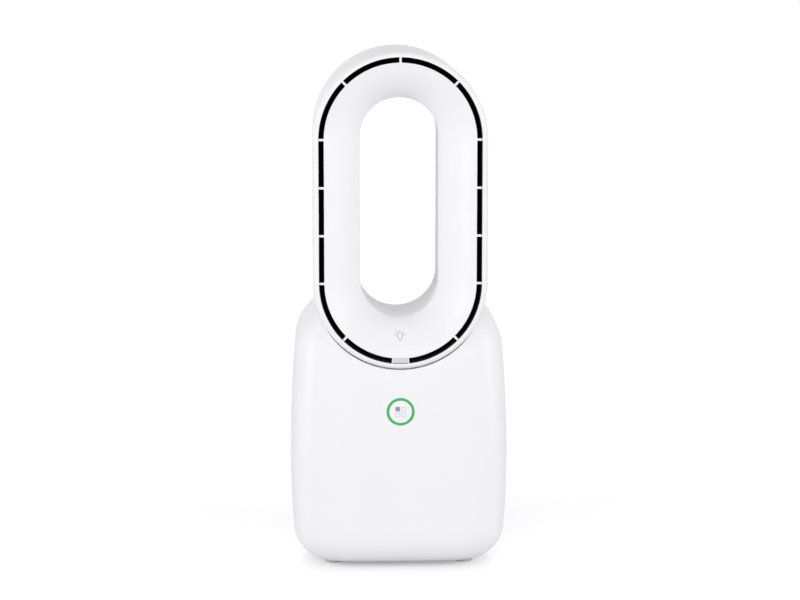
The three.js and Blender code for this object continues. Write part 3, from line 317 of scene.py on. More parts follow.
ring_shader = finishes["green_light"].node_tree.nodes["Principled BSDF"]
ring_shader.inputs["Emission Color"].default_value = (0.02, 0.42, 0.09, 1)
ring_shader.inputs["Emission Strength"].default_value = RING_GLOW
print("finishes:", ", ".join(finishes))


def place_piece(piece, slot, *replaced, body="body"):
    """Gives a piece its finish and its body, and hides the solids that it stands for."""
    if not piece.data.materials:
        piece.data.materials.append(finishes[slot])
    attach(piece, body)
    if replaced:
        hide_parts(*replaced)
    print(piece.name, len(piece.data.polygons), "faces")


# %% [markdown]
# ## The loop
#
# The loop is one section carried round an oval: two half circles joined by straight sides. A curve
# object with a bevel could do it, but a grid of points keeps each radius exact. The section is made
# of two mouldings. The outer shell is the lip in front of the air slot, the outer wall and the round
# back. The inner shell is the funnel, the throat and the flare behind it.

# %% Carry a section round the oval
LOOP_STEPS = 96


def around_oval(section):
    """Carries a closed section of [half width, depth] points round the oval. On an arc, a point
    lies half-width times [cos, sin] away from the arc's centre; the sides are straight."""
    section = np.asarray(section, float)
    low = np.linspace(-np.pi, 0, LOOP_STEPS + 1)
    angle = np.concatenate([low, low + np.pi])[:, None]
    centre = np.repeat([LOOP_LOW, LOOP_HIGH], LOOP_STEPS + 1)[:, None]
    depth = np.broadcast_to(LOOP_FRONT + section[:, 1], (len(angle), len(section)))
    points = np.stack([section[:, 0] * np.cos(angle), depth,
                       centre + section[:, 0] * np.sin(angle)], -1)
    return points, quads_of(len(angle), len(section), wrap_rows=True, wrap_columns=True)


def beside(path, distance):
    """A path moved to its left by a distance, square to its own direction at each point."""
    run = np.gradient(path, axis=0)
    run /= np.linalg.norm(run, axis=1, keepdims=True)
    return path + distance * np.stack([-run[:, 1], run[:, 0]], 1)


# %% [markdown]
# The funnel's curve is a quadratic curve between the throat's front edge and the slot. It is kept
# as a function, because the lamp symbol is laid on it later.

# %% Funnel curve
def funnel(t):
    """[half width, depth] on the funnel, from the throat at 0 to the slot at 1: a quadratic curve."""
    t = np.asarray(t, float)[..., None]
    start, pull = np.array([THROAT_FRONT, THROAT_FRONT_DEPTH]), np.array(FUNNEL_PULL)
    end = np.array([SLOT_INNER, FUNNEL_EDGE_DEPTH])
    return (1 - t) ** 2 * start + 2 * t * (1 - t) * pull + t ** 2 * end


flare = (NOSE_HALF_WIDTH - THROAT_REAR, LOOP_DEPTH - THROAT_REAR_DEPTH)
nose_start = LOOP_DEPTH - NOSE_DEPTH

# %% [markdown]
# The outer shell's section starts at the slot, runs over the lip and along the outer wall, and turns
# in at the back. Its parts are arcs of ellipses, because a moulded edge has a known radius, and the
# inside is the same path moved in by the wall.

# %% Outer shell
LIP_STEPS = 4
outer_path = np.concatenate([
    arc((SLOT_OUTER + LIP_EDGE, LIP_EDGE), (LIP_EDGE, LIP_EDGE), 180, 270, LIP_STEPS),
    arc((SLOT_OUTER + LIP_FLAT, LIP_ROUND_DEPTH), (LIP_ROUND_WIDTH, LIP_ROUND_DEPTH), -90, 0, 14),
    arc((NOSE_HALF_WIDTH, nose_start),
        (LOOP_HALF_WIDTH - LOOP_REAR_DRAFT - NOSE_HALF_WIDTH, NOSE_DEPTH), 0, 90, 20),
    arc((NOSE_HALF_WIDTH, THROAT_REAR_DEPTH), flare, 90, 90 + SEAM_ANGLE, 12)[1:],
])
outer_inside = beside(outer_path[LIP_STEPS + 1:], LOOP_WALL)
outer_inside[0] = [SLOT_OUTER, LOOP_WALL]
outer_section = np.concatenate([outer_path, outer_inside[::-1]])
outer_shell = make_piece("outer_shell", [around_oval(outer_section)], crisp=35)
print("outer section:", len(outer_section), "points")

# %% [markdown]
# The inner shell's section starts at the rear seam, runs forward through the throat and up the
# funnel, and ends at the slot's inner edge. The wall behind it stops short of that thin edge.

# %% Inner shell
WALL_END = 8
inner_path = np.concatenate([
    arc((NOSE_HALF_WIDTH, THROAT_REAR_DEPTH), flare, 90 + SEAM_ANGLE + SEAM_GAP, 180, 16),
    funnel(np.linspace(0, 1, 29))[:-1],
    arc((SLOT_INNER - LIP_EDGE, FUNNEL_EDGE_DEPTH + LIP_EDGE), (LIP_EDGE, LIP_EDGE), -90, 0, LIP_STEPS),
])
inner_back = [[SLOT_INNER, SLOT_WALL_DEPTH], [SLOT_INNER - SLOT_WALL, SLOT_WALL_DEPTH]]
inner_inside = beside(inner_path[:-WALL_END], LOOP_WALL)
inner_section = np.concatenate([inner_path, inner_back, inner_inside[::-1]])
inner_shell = make_piece("inner_shell", [around_oval(inner_section)], crisp=20)
print("inner section:", len(inner_section), "points")

# %% [markdown]
# Behind the slot the loop is hollow. The slot's walls and the mouldings' inner faces are painted black
# as painted shade, so that the slot reads as one dark line. Those faces get the black finish.


# %% Painted shade: black inside of the hollow loop
def paint_shade_inside(piece, section, first_inside):
    """Paints shade inside the loop: gives the black finish to faces whose middle is nearer the section's
    inner points, numbered from first_inside on, than its outer ones."""
    mesh = piece.data
    mesh.materials.append(finishes["white_plastic"])
    mesh.materials.append(finishes["black_plastic"])
    centre = np.zeros(len(mesh.polygons) * 3)
    mesh.polygons.foreach_get("center", centre)
    x, y, z = centre.reshape(-1, 3).T / MM
    away = z - np.clip(z, LOOP_LOW, LOOP_HIGH)
    spot = np.stack([np.hypot(x, away), y - LOOP_FRONT], 1)
    middle = (section + np.roll(section, -1, axis=0)) / 2
    nearest = np.argmin(((spot[:, None, :] - middle[None]) ** 2).sum(-1), axis=1)
    mesh.polygons.foreach_set("material_index", (nearest >= first_inside).astype(np.int32))
    print(piece.name, "black faces:", int((nearest >= first_inside).sum()))


# The black finish inside both shells is painted shade in the hollow loop.
paint_shade_inside(outer_shell, outer_section, len(outer_path))
paint_shade_inside(inner_shell, inner_section, len(inner_path) - 1)
place_piece(outer_shell, "white_plastic", "loop_outer_shell")
place_piece(inner_shell, "white_plastic", "loop_inner_shell")

# %% [markdown]
# Thin white bridges cross the slot and hold the two shells apart. Each is a box turned to stand
# square to the slot. All of them are made at once, because they differ only in their place.

# %% Bridges
BRIDGE_WIDTH, BRIDGE_SINK, BRIDGE_DEPTH = 1.55, 0.45, 2.6
BRIDGE_ROOT, BRIDGE_REACH, BRIDGE_ROUND = 0.4, 0.1, 0.2


def bridge(angle, centre):
    """A bar that points away from [0, centre] at an angle in degrees: a box turned about Y."""
    points, quads = block((SLOT_INNER - BRIDGE_ROOT, LOOP_FRONT + BRIDGE_SINK, -BRIDGE_WIDTH / 2),
                          (SLOT_OUTER + BRIDGE_REACH, LOOP_FRONT + BRIDGE_DEPTH, BRIDGE_WIDTH / 2))
    c, s = math.cos(math.radians(angle)), math.sin(math.radians(angle))
    x, y, z = points.T
    return np.stack([c * x - s * z, y, centre + s * x + c * z], 1), quads


places = [(45, LOOP_HIGH), (90, LOOP_HIGH), (135, LOOP_HIGH), (225, LOOP_LOW), (315, LOOP_LOW)]
places += [(side, LOOP_LOW + LOOP_STRAIGHT * i / 3) for side in (0, 180) for i in range(4)]
bridges = make_piece("slot_bridges", [bridge(*place) for place in places])
soften(bridges, BRIDGE_ROUND)
place_piece(bridges, "white_plastic")

# %% [markdown]
# At its lowest point the slot is closed by an insert between two narrow white bars. The insert is
# white plastic, and its grey colour is painted shade. All three are short pieces of the slot's own
# ring, because a straight block would not follow its curve.


# %% Insert, grey with painted shade
def ring_piece(inner, outer, front, back, spread, steps=24):
    """Part of an upright ring about the lower arc's centre, from -spread to +spread radians either
    side of straight down, with flat ends."""
    turn = np.linspace(-spread, spread, steps + 1)[:, None]
    radius = np.array([inner, outer, outer, inner])
    depth = np.broadcast_to([front, front, back, back], (steps + 1, 4))
    points = np.stack([radius * np.sin(turn), depth, LOOP_LOW - radius * np.cos(turn)], -1)
    ends = np.array([[3, 2, 1, 0], [steps * 4 + k for k in range(4)]])
    return points, np.concatenate([quads_of(steps + 1, 4, wrap_columns=True).reshape(-1, 4), ends])


INSERT_HALF, INSERT_GAP, INSERT_SINK, INSERT_DEPTH, INSERT_ROUND = 5.1, 0.12, 0.6, 3.7, 0.25
BAR_HALF, BAR_ROOT, BAR_ROUND = 0.42, 0.3, 0.12
insert_spread, bar_spread = INSERT_HALF / SLOT_MIDDLE, BAR_HALF / SLOT_MIDDLE
insert = make_piece("slot_insert", [ring_piece(
    SLOT_INNER + INSERT_GAP, SLOT_OUTER - INSERT_GAP,
    LOOP_FRONT + INSERT_SINK, LOOP_FRONT + INSERT_DEPTH, insert_spread)])
soften(insert, INSERT_ROUND)
place_piece(insert, "frosted_plastic", "slot_window")

# %% [markdown]
# The two white bars are narrow pieces of the same ring. Each is made straight below the arc's centre
# and then turned round that centre to the insert's end.

# %% Bars at the insert's ends
end_bars = []
for side in (-1, 1):
    bar, bar_quads = ring_piece(SLOT_INNER - BAR_ROOT, SLOT_OUTER + BRIDGE_REACH, LOOP_FRONT + BRIDGE_SINK,
                                LOOP_FRONT + BRIDGE_DEPTH, bar_spread, steps=2)
    away = side * (insert_spread + bar_spread)
    x, y, z = bar[..., 0], bar[..., 1], bar[..., 2] - LOOP_LOW
    end_bars.append((np.stack([x * math.cos(away) - z * math.sin(away), y,
                               LOOP_LOW + x * math.sin(away) + z * math.cos(away)], -1), bar_quads))
insert_bars = soften(make_piece("slot_insert_bars", end_bars), BAR_ROUND)
place_piece(insert_bars, "white_plastic")

# %% [markdown]
# ## The lamp symbol
#
# A thin grey lamp is printed on the lower funnel, over its touch key. The print is a few ribbons
# with a real, very small thickness. Each is drawn flat and then laid on the funnel, so it follows
# the curve.

# %% Ribbons laid on a surface
PRINT_LIFT = 0.03


def ribbon(path, width, closed=False):
    """A flat line of a given width: for each point of a 2-D path, its left and right edge."""
    path = np.asarray(path, float)
    run = np.roll(path, -1, 0) - np.roll(path, 1, 0) if closed else np.gradient(path, axis=0)
    run /= np.linalg.norm(run, axis=1, keepdims=True)
    side = np.stack([-run[:, 1], run[:, 0]], 1) * width / 2
    return path + side, path - side


def printed(path, width, lay, closed=False):
    """A ribbon as a closed thin solid. lay(points, lift) puts flat points on the surface."""
    left, right = ribbon(path, width, closed)
    rows = np.stack([lay(left, 0.0), lay(right, 0.0), lay(right, PRINT_LIFT),
                     lay(left, PRINT_LIFT)], 1)
    count = len(rows)
    quads = quads_of(count, 4, wrap_rows=closed, wrap_columns=True).reshape(-1, 4)
    if not closed:
        quads = np.concatenate([quads, [[3, 2, 1, 0], [count * 4 - 4 + k for k in range(4)]]])
    return rows, quads


def smooth_line(points, steps):
    """A path through a few points, with each straight part split evenly."""
    points = np.asarray(points, float)
    share = np.linspace(0, 1, steps, endpoint=False)[None, :, None]
    split = points[:-1, None] * (1 - share) + points[1:, None] * share
    return np.concatenate([split.reshape(-1, 2), points[-1:]])


# %% [markdown]
# To lie on the curved funnel undistorted, a flat point needs its length measured along the curve. A
# table of the curve's running length gives that, and a point is looked up in it.

# %% Place on the lower funnel
SYMBOL_MIDDLE = 0.48
funnel_table = np.linspace(0, 1, 400)
funnel_run = np.linalg.norm(np.diff(funnel(funnel_table), axis=0), axis=1)
funnel_length = np.concatenate([[0], np.cumsum(funnel_run)])
symbol_start = np.interp(SYMBOL_MIDDLE, funnel_table, funnel_length)
print("length of the funnel's curve:", round(float(funnel_length[-1]), 1), "mm")


def on_lower_funnel(points, lift):
    """Lays [across, up] points on the lower funnel: up runs along the curve towards the throat,
    across runs round the arc, and lift stands off the surface."""
    t = np.interp(symbol_start - points[:, 1], funnel_length, funnel_table)
    spot, ahead = funnel(t), funnel(t + 0.01)
    run = (ahead - spot) / np.linalg.norm(ahead - spot, axis=1, keepdims=True)
    spot = spot + lift * np.stack([run[:, 1], -run[:, 0]], 1)
    turn = points[:, 0] / spot[:, 0]
    return np.stack([spot[:, 0] * np.sin(turn), LOOP_FRONT + spot[:, 1],
                     LOOP_LOW - spot[:, 0] * np.cos(turn)], 1)


# %% [markdown]
# The lamp is part of an ellipse that narrows to a short neck, with five short rays round it. It is
# only 8 mm across, so one outline and five lines are enough.

# %% Draw the lamp
LAMP_LINE, BULB_WIDTH, BULB_HEIGHT, BULB_RISE = 0.5, 2.0, 1.8, 0.7
NECK_HALF, NECK_DROP = 0.45, 3.5
RAY_STATIONS = [2.9, 3.5, 4.2]
bulb_angle = np.radians(np.linspace(-25, 205, 25))
bulb = np.stack([BULB_WIDTH * np.cos(bulb_angle), BULB_RISE + BULB_HEIGHT * np.sin(bulb_angle)], 1)
neck = np.array([[-NECK_HALF, -NECK_DROP], [NECK_HALF, -NECK_DROP]])
bulb = np.concatenate([bulb, smooth_line([bulb[-1], neck[0], neck[1], bulb[0]], 6)[1:-1]])
ray_angles = np.radians([0, 45, 90, 135, 180])
rays = [np.outer(RAY_STATIONS, [math.cos(a), math.sin(a)]) + [0, BULB_RISE] for a in ray_angles]
lamp_parts = [printed(bulb, LAMP_LINE, on_lower_funnel, closed=True)]
lamp_parts += [printed(ray, LAMP_LINE, on_lower_funnel) for ray in rays]
lamp_symbol = make_piece("lamp_symbol", lamp_parts, crisp=60)
print_grey = finish("grey_print", (0.40, 0.40, 0.43), 0.5, grain=0.005)
lamp_symbol.data.materials.append(print_grey)
place_piece(lamp_symbol, "grey_plastic")

# %% [markdown]
# ## The base
#
# The base is a rounded box. Seen from above, its outline is a superellipse, a shape between an
# ellipse and a rectangle. A box with rounded edges would look flat beside it. The sides bow out a
# little in the middle, and a trough for the loop runs right through the top.

# %% Outline of the base at any height
def shrink(z):
    """How far the base's sides stand inside its widest outline at a height: the bow of the sides,
    a parabola, plus a quarter circle at the bottom edge and at the top edge."""
    above = (z - BELLY_HEIGHT) / (BASE_TOP - BELLY_HEIGHT)
    below = (z - BELLY_HEIGHT) / (BASE_BOTTOM - BELLY_HEIGHT)
    bow = np.where(z > BELLY_HEIGHT, BELLY_TOP * above ** 2, BELLY_BOTTOM * below ** 2)
    toe = np.clip(BASE_BOTTOM + TOE_RADIUS - z, 0, TOE_RADIUS)
    shoulder = np.clip(z - BASE_TOP + SHOULDER_RADIUS, 0, SHOULDER_RADIUS)
    return (bow + TOE_RADIUS - np.sqrt(TOE_RADIUS ** 2 - toe ** 2)
            + SHOULDER_RADIUS - np.sqrt(SHOULDER_RADIUS ** 2 - shoulder ** 2))


def half_sizes(z):
    """Half the base's width and half its depth at a height."""
    return BASE_WIDTH / 2 - shrink(z), BASE_DEPTH / 2 - shrink(z)


def front_y(x, z):
    """How far forward the base's front stands at a place: y on the superellipse."""
    a, b = half_sizes(z)
    return -b * (1 - np.minimum(np.abs(x) / a, 1) ** BASE_SQUARENESS) ** (1 / BASE_SQUARENESS)


def outward(points):
    """The direction square to the base's surface: the gradient of the superellipse's formula."""
    x, y, z = points[..., 0], points[..., 1], points[..., 2]
    a, b = half_sizes(z)
    n, step = BASE_SQUARENESS, 0.02
    slope = (half_sizes(np.minimum(z + step, BASE_TOP))[0]
             - half_sizes(np.maximum(z - step, BASE_BOTTOM))[0]) / (2 * step)
    px, py = (np.abs(x) / a) ** (n - 1), (np.abs(y) / b) ** (n - 1)
    gradient = np.stack([np.sign(x) * px / a, np.sign(y) * py / b,
                         -slope * (px * np.abs(x) / a ** 2 + py * np.abs(y) / b ** 2)], -1)
    return gradient / np.maximum(np.linalg.norm(gradient, axis=-1, keepdims=True), 1e-12)


# %% [markdown]
# Each housing is built as two halves, left and right, that meet in the middle. A row of points
# runs at one height from the trough, or from the middle line below the trough, round the corner
# to the seam between the housings. The trough's edge and the seam's edge get a small rounding,
# and the same row runs back along the inside of the wall, so the result is a real shell.

# %% Rows of a housing
EDGE = 0.12
SEAM_EDGE = 0.25
COLUMNS, INSIDE_STEP = 96, 3
QUARTER = 300
TOE_ROWS, SIDE_ROWS, TROUGH_ROWS, BOTTOM_ROWS, EDGE_STEPS = 14, 16, 76, 10, 4
TIP_MARGIN, TIP_STEPS, TIP_LENGTH = 0.05, 1200, 0.02


def plan_rows(z):
    """Fine points of the base's outline at each height, from the front centre round the right side
    to the back centre. The steps are chosen so that they are even on the flat sides too."""
    share = np.linspace(0, 1, QUARTER)
    power = BASE_SQUARENESS / 2
    quarter = np.where(share < 0.5, (2 * share) ** power, 2 - (2 - 2 * share) ** power) * np.pi / 4
    angle = np.concatenate([-quarter[::-1], quarter[1:]])
    bend = np.sign(angle) * np.abs(np.sin(angle)) ** (1 / power)
    a, b = half_sizes(z)
    return a[:, None] * np.abs(np.cos(angle)) ** (1 / power), b[:, None] * bend


def trough_half_width(z):
    """Half the width of the trough, with its edge rounding, at a height: half the chord there of
    a circle round the loop's lower centre."""
    return np.sqrt(np.maximum((NOTCH_RADIUS + EDGE) ** 2 - (LOOP_LOW - z) ** 2, 0))


def row_points(z, seam):
    """Evenly spaced points at each height, from the trough or the centre line to the seam."""
    x, y = plan_rows(z)
    run = np.concatenate([np.zeros((len(z), 1)),
                          np.cumsum(np.hypot(np.diff(x), np.diff(y)), axis=1)], axis=1)
    width = np.where(z > LOOP_LOW - NOTCH_RADIUS - EDGE, trough_half_width(z), 0)
    middle = QUARTER - 1
    out = np.empty((len(z), COLUMNS, 2))
    for i in range(len(z)):
        first = np.interp(width[i], x[i, :middle + 1], run[i, :middle + 1])
        last_cut = np.interp(-width[i], -x[i, middle:], run[i, middle:])
        last = min(np.interp(seam - SEAM_EDGE, y[i], run[i]), last_cut)
        along = np.linspace(first, max(last, first), COLUMNS)
        out[i] = np.stack([np.interp(along, run[i], x[i]), np.interp(along, run[i], y[i])], 1)
    return out


def tip_height(seam):
    """Height at which the row between the trough and the seam shrinks to nothing."""
    z = np.linspace(LOOP_LOW - NOTCH_RADIUS, BASE_TOP - TIP_MARGIN, TIP_STEPS)
    rows = row_points(z, seam)
    length = np.linalg.norm(rows[:, -1] - rows[:, 0], axis=1)
    return z[np.argmax(length < TIP_LENGTH)]


# %% [markdown]
# The trough's edge is worked out from its own circle: a point on it has an angle round the loop's
# axis, a radius and a depth behind the front face. That keeps the thin joint line round the loop
# even all the way.

# %% Half a housing
def housing_half(seam, tip):
    """The right half of a housing whose face looks to -Y, as (points, quads). Each row is one
    height: the trough's edge, the face, the seam's edge, and the face again, moved in by the wall."""
    groove = LOOP_LOW - NOTCH_RADIUS - EDGE
    toe = BASE_BOTTOM + TOE_RADIUS * (1 - np.cos(np.radians(np.linspace(0, 90, TOE_ROWS))))
    side = np.linspace(toe[-1], groove, SIDE_ROWS)[1:-1]
    top_angle = math.acos((LOOP_LOW - tip) / (NOTCH_RADIUS + EDGE))
    swing = top_angle * (0.5 - 0.5 * np.cos(np.linspace(0, np.pi, TROUGH_ROWS)))
    z = np.concatenate([toe, side, LOOP_LOW - (NOTCH_RADIUS + EDGE) * np.cos(swing)])
    heights = np.broadcast_to(z[:, None, None], (len(z), COLUMNS, 1))
    face = np.concatenate([row_points(z, seam), heights], -1)
    normal = outward(face)
    normal[0] = [0, 0, -1]
    inside = face - normal * BASE_WALL
    end = np.stack([face[:, -1] + [0, SEAM_EDGE, 0] - normal[:, -1] * SEAM_EDGE,
                    inside[:, -1] + [0, SEAM_EDGE, 0]], 1)
    rows_below = len(toe) + len(side)
    turn = np.concatenate([np.zeros(rows_below), swing])[:, None]
    round_angle = np.radians(np.linspace(0, 90, EDGE_STEPS + 1)[1:])
    radius = np.concatenate([NOTCH_RADIUS + EDGE * (1 - np.sin(round_angle)), [NOTCH_RADIUS]])
    depth = np.concatenate([EDGE * (1 - np.cos(round_angle)), [BASE_WALL]])
    edge_x, edge_z = radius * np.sin(turn), LOOP_LOW - radius * np.cos(turn)
    edge = np.stack([edge_x, front_y(edge_x, edge_z) + depth, edge_z], -1)
    edge[:rows_below] = face[:rows_below, :1]
    back = out_of_trough(inside[:, ::-INSIDE_STEP])
    points = np.concatenate([edge[:, ::-1], face, end, back], axis=1)
    points[-1] = points[-1, edge.shape[1]]
    return close_bottom(points, seam, edge.shape[1], rows_below)


def out_of_trough(points):
    """Pushes points that lie inside the trough's circle out to it, away from the loop's axis."""
    across, up = points[..., 0], points[..., 2] - LOOP_LOW
    away = np.maximum(np.hypot(across, up), 1e-9)
    grow = np.where(up < 0, np.maximum(NOTCH_RADIUS / away, 1), 1)
    return np.stack([across * grow, points[..., 1], LOOP_LOW + up * grow], -1)


def close_bottom(points, seam, edge_columns, rows_below):
    """Adds the flat bottom, as rows that shrink to one point on the seam, and joins all rows. The
    faces of the trough's edge exist only where there is a trough."""
    share = np.linspace(1, 0, BOTTOM_ROWS, endpoint=False)[:, None, None]
    rim = points[:1]
    pole = rim.copy()
    pole[..., 0] = 0
    pole[..., 1] = np.where(np.arange(rim.shape[1]) < edge_columns + COLUMNS, seam - SEAM_EDGE, seam)
    grid = np.concatenate([rim * (1 - share) + pole * share, points])
    quads = quads_of(len(grid), grid.shape[1], wrap_columns=True)
    has_trough = np.arange(len(quads)) >= BOTTOM_ROWS + rows_below
    plain = np.ones(grid.shape[1], bool)
    plain[:edge_columns] = False
    plain[-1] = False
    return grid, quads[has_trough[:, None] | plain[None, :]]


# %% [markdown]
# The base is moulded as a front and a rear housing. Each is closed by adding its own mirror image. A
# Mirror modifier could do this, but here the mesh is whole before anything is cut from it.

# %% Both housings
def housing(name, seam, face_sign):
    """Joins the right half and its mirror image; face_sign is 1 for the front and -1 for the rear."""
    points, quads = housing_half(seam, tip_height(seam))
    parts = [(points * [side, face_sign, 1], quads) for side in (1, -1)]
    return make_piece(name, parts, crisp=30)


front_skin = housing("front_cover", FRONT_SEAM_Y, 1)
rear_skin = housing("rear_cover", -REAR_SEAM_Y, -1)
print("covers:", len(front_skin.data.polygons), "and", len(rear_skin.data.polygons), "faces")

# %% [markdown]
# The front housing gets the round hole for the button, and both housings get pockets for the
# feet. The cutters are turned on a lathe, with a small cone that leaves a chamfer at the rim.

# %% Button hole and foot pockets
FOOT_X, FOOT_Y, FOOT_RADIUS, FOOT_HEIGHT = 46.0, 27.0, 6.7, 4.2
RING_RADIUS, RING_WIDTH = 9.3, 1.2
FIT = 0.3
CUTTER_LEAD, RING_CHAMFER, RING_CUT, FOOT_CHAMFER, FOOT_CUT = 3, 0.25, 5, 0.2, 4
button_y = float(front_y(0.0, BUTTON_HEIGHT))


def hole_cutter(radius, chamfer, reach):
    """A turned cutter that opens towards negative height and leaves a chamfer at height 0."""
    return turned([[0, -CUTTER_LEAD], [radius + chamfer + CUTTER_LEAD, -CUTTER_LEAD],
                   [radius, chamfer], [radius, reach], [0, reach]])


button_hole = hole_cutter(RING_RADIUS + FIT, RING_CHAMFER, RING_CUT)
carve(front_skin, [laid_back(button_hole, button_y, BUTTON_HEIGHT)])
for skin, side in ((front_skin, -1), (rear_skin, 1)):
    pocket, pocket_quads = hole_cutter(FOOT_RADIUS + FIT, FOOT_CHAMFER, FOOT_CUT)
    carve(skin, [(pocket + [x, side * FOOT_Y, BASE_BOTTOM], pocket_quads) for x in (-FOOT_X, FOOT_X)])
place_piece(front_skin, "white_plastic", "front_housing")

# %% [markdown]
# ## The air intake
#
# The fan draws its air through the intake grille at the back: a thin panel that follows the
# housing's surface, with rows of slots that end in half circles. The slots are cut from a plain
# panel, because a grid with the holes left out would have to bend round each of them.

# %% Intake grille
INTAKE_HALF, INTAKE_BOTTOM, INTAKE_TOP = 40.0, 34.0, 106.0
SLOT_HEIGHT, SLOT_PITCH, RIB, BORDER = 3.2, 6.0, 4.0, 4.0
PANEL_COLUMNS, PANEL_ROWS, CUT_PAST = 61, 49, 6


def curved_panel(half_width, low, high, thickness):
    """A panel on the base's back: the superellipse's y over a grid of x and z, and the same grid
    moved in along the surface's own direction by the thickness, joined round the rim."""
    x, z = np.meshgrid(np.linspace(-half_width, half_width, PANEL_COLUMNS),
                       np.linspace(low, high, PANEL_ROWS))
    outer = np.stack([x, -front_y(x, z), z], -1)
    inner = outer - outward(outer) * thickness
    rows = np.concatenate([outer, inner[:, ::-1]], axis=1)
    around = rows.shape[1]
    quads = quads_of(PANEL_ROWS, around, wrap_columns=True).reshape(-1, 4)
    k = np.arange(PANEL_COLUMNS - 1)
    end = np.stack([k, k + 1, around - 2 - k, around - 1 - k], 1)
    return rows, np.concatenate([quads, end[:, ::-1], end + (PANEL_ROWS - 1) * around])


def slot_cutter(left, right, middle):
    """An upright slot with round ends, pushed along Y: a rounded outline and its copy."""
    half = SLOT_HEIGHT / 2
    outline = np.concatenate([arc((right - half, middle), (half, half), -90, 90, 8),
                              arc((left + half, middle), (half, half), 90, 270, 8)])
    near, far = BASE_DEPTH / 4, BASE_DEPTH / 2 + CUT_PAST
    rows = np.stack([np.insert(outline, 1, y, axis=1) for y in (near, far)], 0)
    hub = np.stack([np.broadcast_to([(left + right) / 2, y, middle], (len(outline), 3))
                    for y in (near, far)])
    grid = np.concatenate([hub[:1], rows, hub[1:]])
    return grid, quads_of(4, len(outline), wrap_columns=True)


grille = make_piece("intake_panel", [curved_panel(INTAKE_HALF, INTAKE_BOTTOM, INTAKE_TOP, BASE_WALL)])
highest_slot = INTAKE_TOP - BORDER - SLOT_HEIGHT
slot_rows = np.arange(INTAKE_BOTTOM + BORDER, highest_slot + 0.01, SLOT_PITCH)
slot_ends = INTAKE_HALF - BORDER
carve(grille, [slot_cutter(*span, z + SLOT_HEIGHT / 2) for z in slot_rows
               for span in ((-slot_ends, -RIB / 2), (RIB / 2, slot_ends))])
place_piece(grille, "white_plastic", "intake_grille")

# %% [markdown]
# The rear housing gets a square window for that panel and a round hole for the power socket. Both
# are cut a little wider than what goes in, so that the parts don't touch.

# %% Window and socket hole in the rear housing
INLET_HEIGHT, INLET_RADIUS, INLET_CUT = 24.0, 4.9, 12
window = block((-INTAKE_HALF - FIT, BASE_DEPTH / 4, INTAKE_BOTTOM - FIT),
               (INTAKE_HALF + FIT, BASE_DEPTH, INTAKE_TOP + FIT))
inlet_y = -float(front_y(0.0, INLET_HEIGHT))
inlet_wall = INLET_RADIUS + FIT
inlet_hole = laid_back(turned([[0, -INLET_CUT], [inlet_wall, -INLET_CUT],
                               [inlet_wall, INLET_CUT], [0, INLET_CUT]]), inlet_y, INLET_HEIGHT)
carve(rear_skin, [window])
carve(rear_skin, [inlet_hole])
place_piece(rear_skin, "white_plastic", "rear_housing")

# %% [markdown]
# ## The power socket
#
# A round barrel socket sits in the back, below the intake. It is turned: a collar with a rounded
# rim, a deep bore, and a steel pin in the middle of the bore.

# %% Socket and pin
SOCKET_SINK, SOCKET_LENGTH = 0.4, 18.6
BORE_RADIUS, BORE_DEPTH, BORE_LEAD, BORE_ROUND = 2.9, 9.0, 0.5, 0.3
COLLAR_ROUND = 0.5
FLANGE_RADIUS, FLANGE_FRONT, FLANGE_BACK, FLANGE_SLOPE = 7.0, 5.2, 6.6, 0.2
PIN_RADIUS, PIN_ROOT, PIN_TIP, PIN_ROUND = 1.0, 9.2, 1.0, 0.4
socket_face = inlet_y - SOCKET_SINK
bore_rim = (BORE_RADIUS + BORE_ROUND, -BORE_ROUND)
collar = [[BORE_RADIUS, -BORE_DEPTH], [BORE_RADIUS, -BORE_LEAD],
          *arc(bore_rim, (BORE_ROUND, BORE_ROUND), 180, 90, 4),
          *arc((INLET_RADIUS - COLLAR_ROUND, -COLLAR_ROUND), (COLLAR_ROUND, COLLAR_ROUND), 90, 0, 5),
          [INLET_RADIUS, FLANGE_SLOPE - FLANGE_FRONT], [FLANGE_RADIUS, -FLANGE_FRONT],
          [FLANGE_RADIUS, -FLANGE_BACK], [INLET_RADIUS, -FLANGE_BACK - FLANGE_SLOPE],
          [INLET_RADIUS, -SOCKET_LENGTH], [0, -SOCKET_LENGTH], [0, -BORE_DEPTH]]
socket = make_piece("power_socket", [laid_back(turned(collar, 64), socket_face, INLET_HEIGHT)])
place_piece(socket, "black_plastic", "power_inlet")
pin_shoulder = -PIN_TIP - PIN_ROUND
pin = [[0, -PIN_ROOT], [PIN_RADIUS, -PIN_ROOT], [PIN_RADIUS, pin_shoulder],
       *arc((PIN_RADIUS - PIN_ROUND, pin_shoulder), (PIN_ROUND, PIN_ROUND), 0, 90, 4), [0, -PIN_TIP]]
socket_pin = make_piece("socket_pin", [laid_back(turned(pin, 32), socket_face, INLET_HEIGHT)])
place_piece(socket_pin, "steel")

# %% [markdown]
# ## The button
#
# The push button is a shallow dome in a thin light ring. Both are turned on the same axis, which
# gives true circles. The ring belongs to the base, and the cap to its own body, which slides in.

# %% Light ring
RING_DEPTH, RING_ROUND, RING_ROUND_DEPTH = 8.0, 0.2, 0.1
RIM_RADIUS, RIM_FRONT, RIM_BACK = 11.4, 3.1, 4.3
BUTTON_SEGMENTS = 128
ring_inner = RING_RADIUS - RING_WIDTH
ring_round = (RING_ROUND, RING_ROUND)
light_ring = [[ring_inner, RING_DEPTH],
              *arc((ring_inner + RING_ROUND, RING_ROUND_DEPTH), ring_round, 180, 270, 4),
              *arc((RING_RADIUS - RING_ROUND, RING_ROUND_DEPTH), ring_round, 270, 360, 4),
              [RING_RADIUS, RIM_FRONT], [RIM_RADIUS, RIM_FRONT], [RIM_RADIUS, RIM_BACK],
              [RING_RADIUS, RIM_BACK], [RING_RADIUS, RING_DEPTH]]
ring_part = laid_back(turned(light_ring, BUTTON_SEGMENTS), button_y, BUTTON_HEIGHT)
glow_ring = make_piece("light_ring", [ring_part])
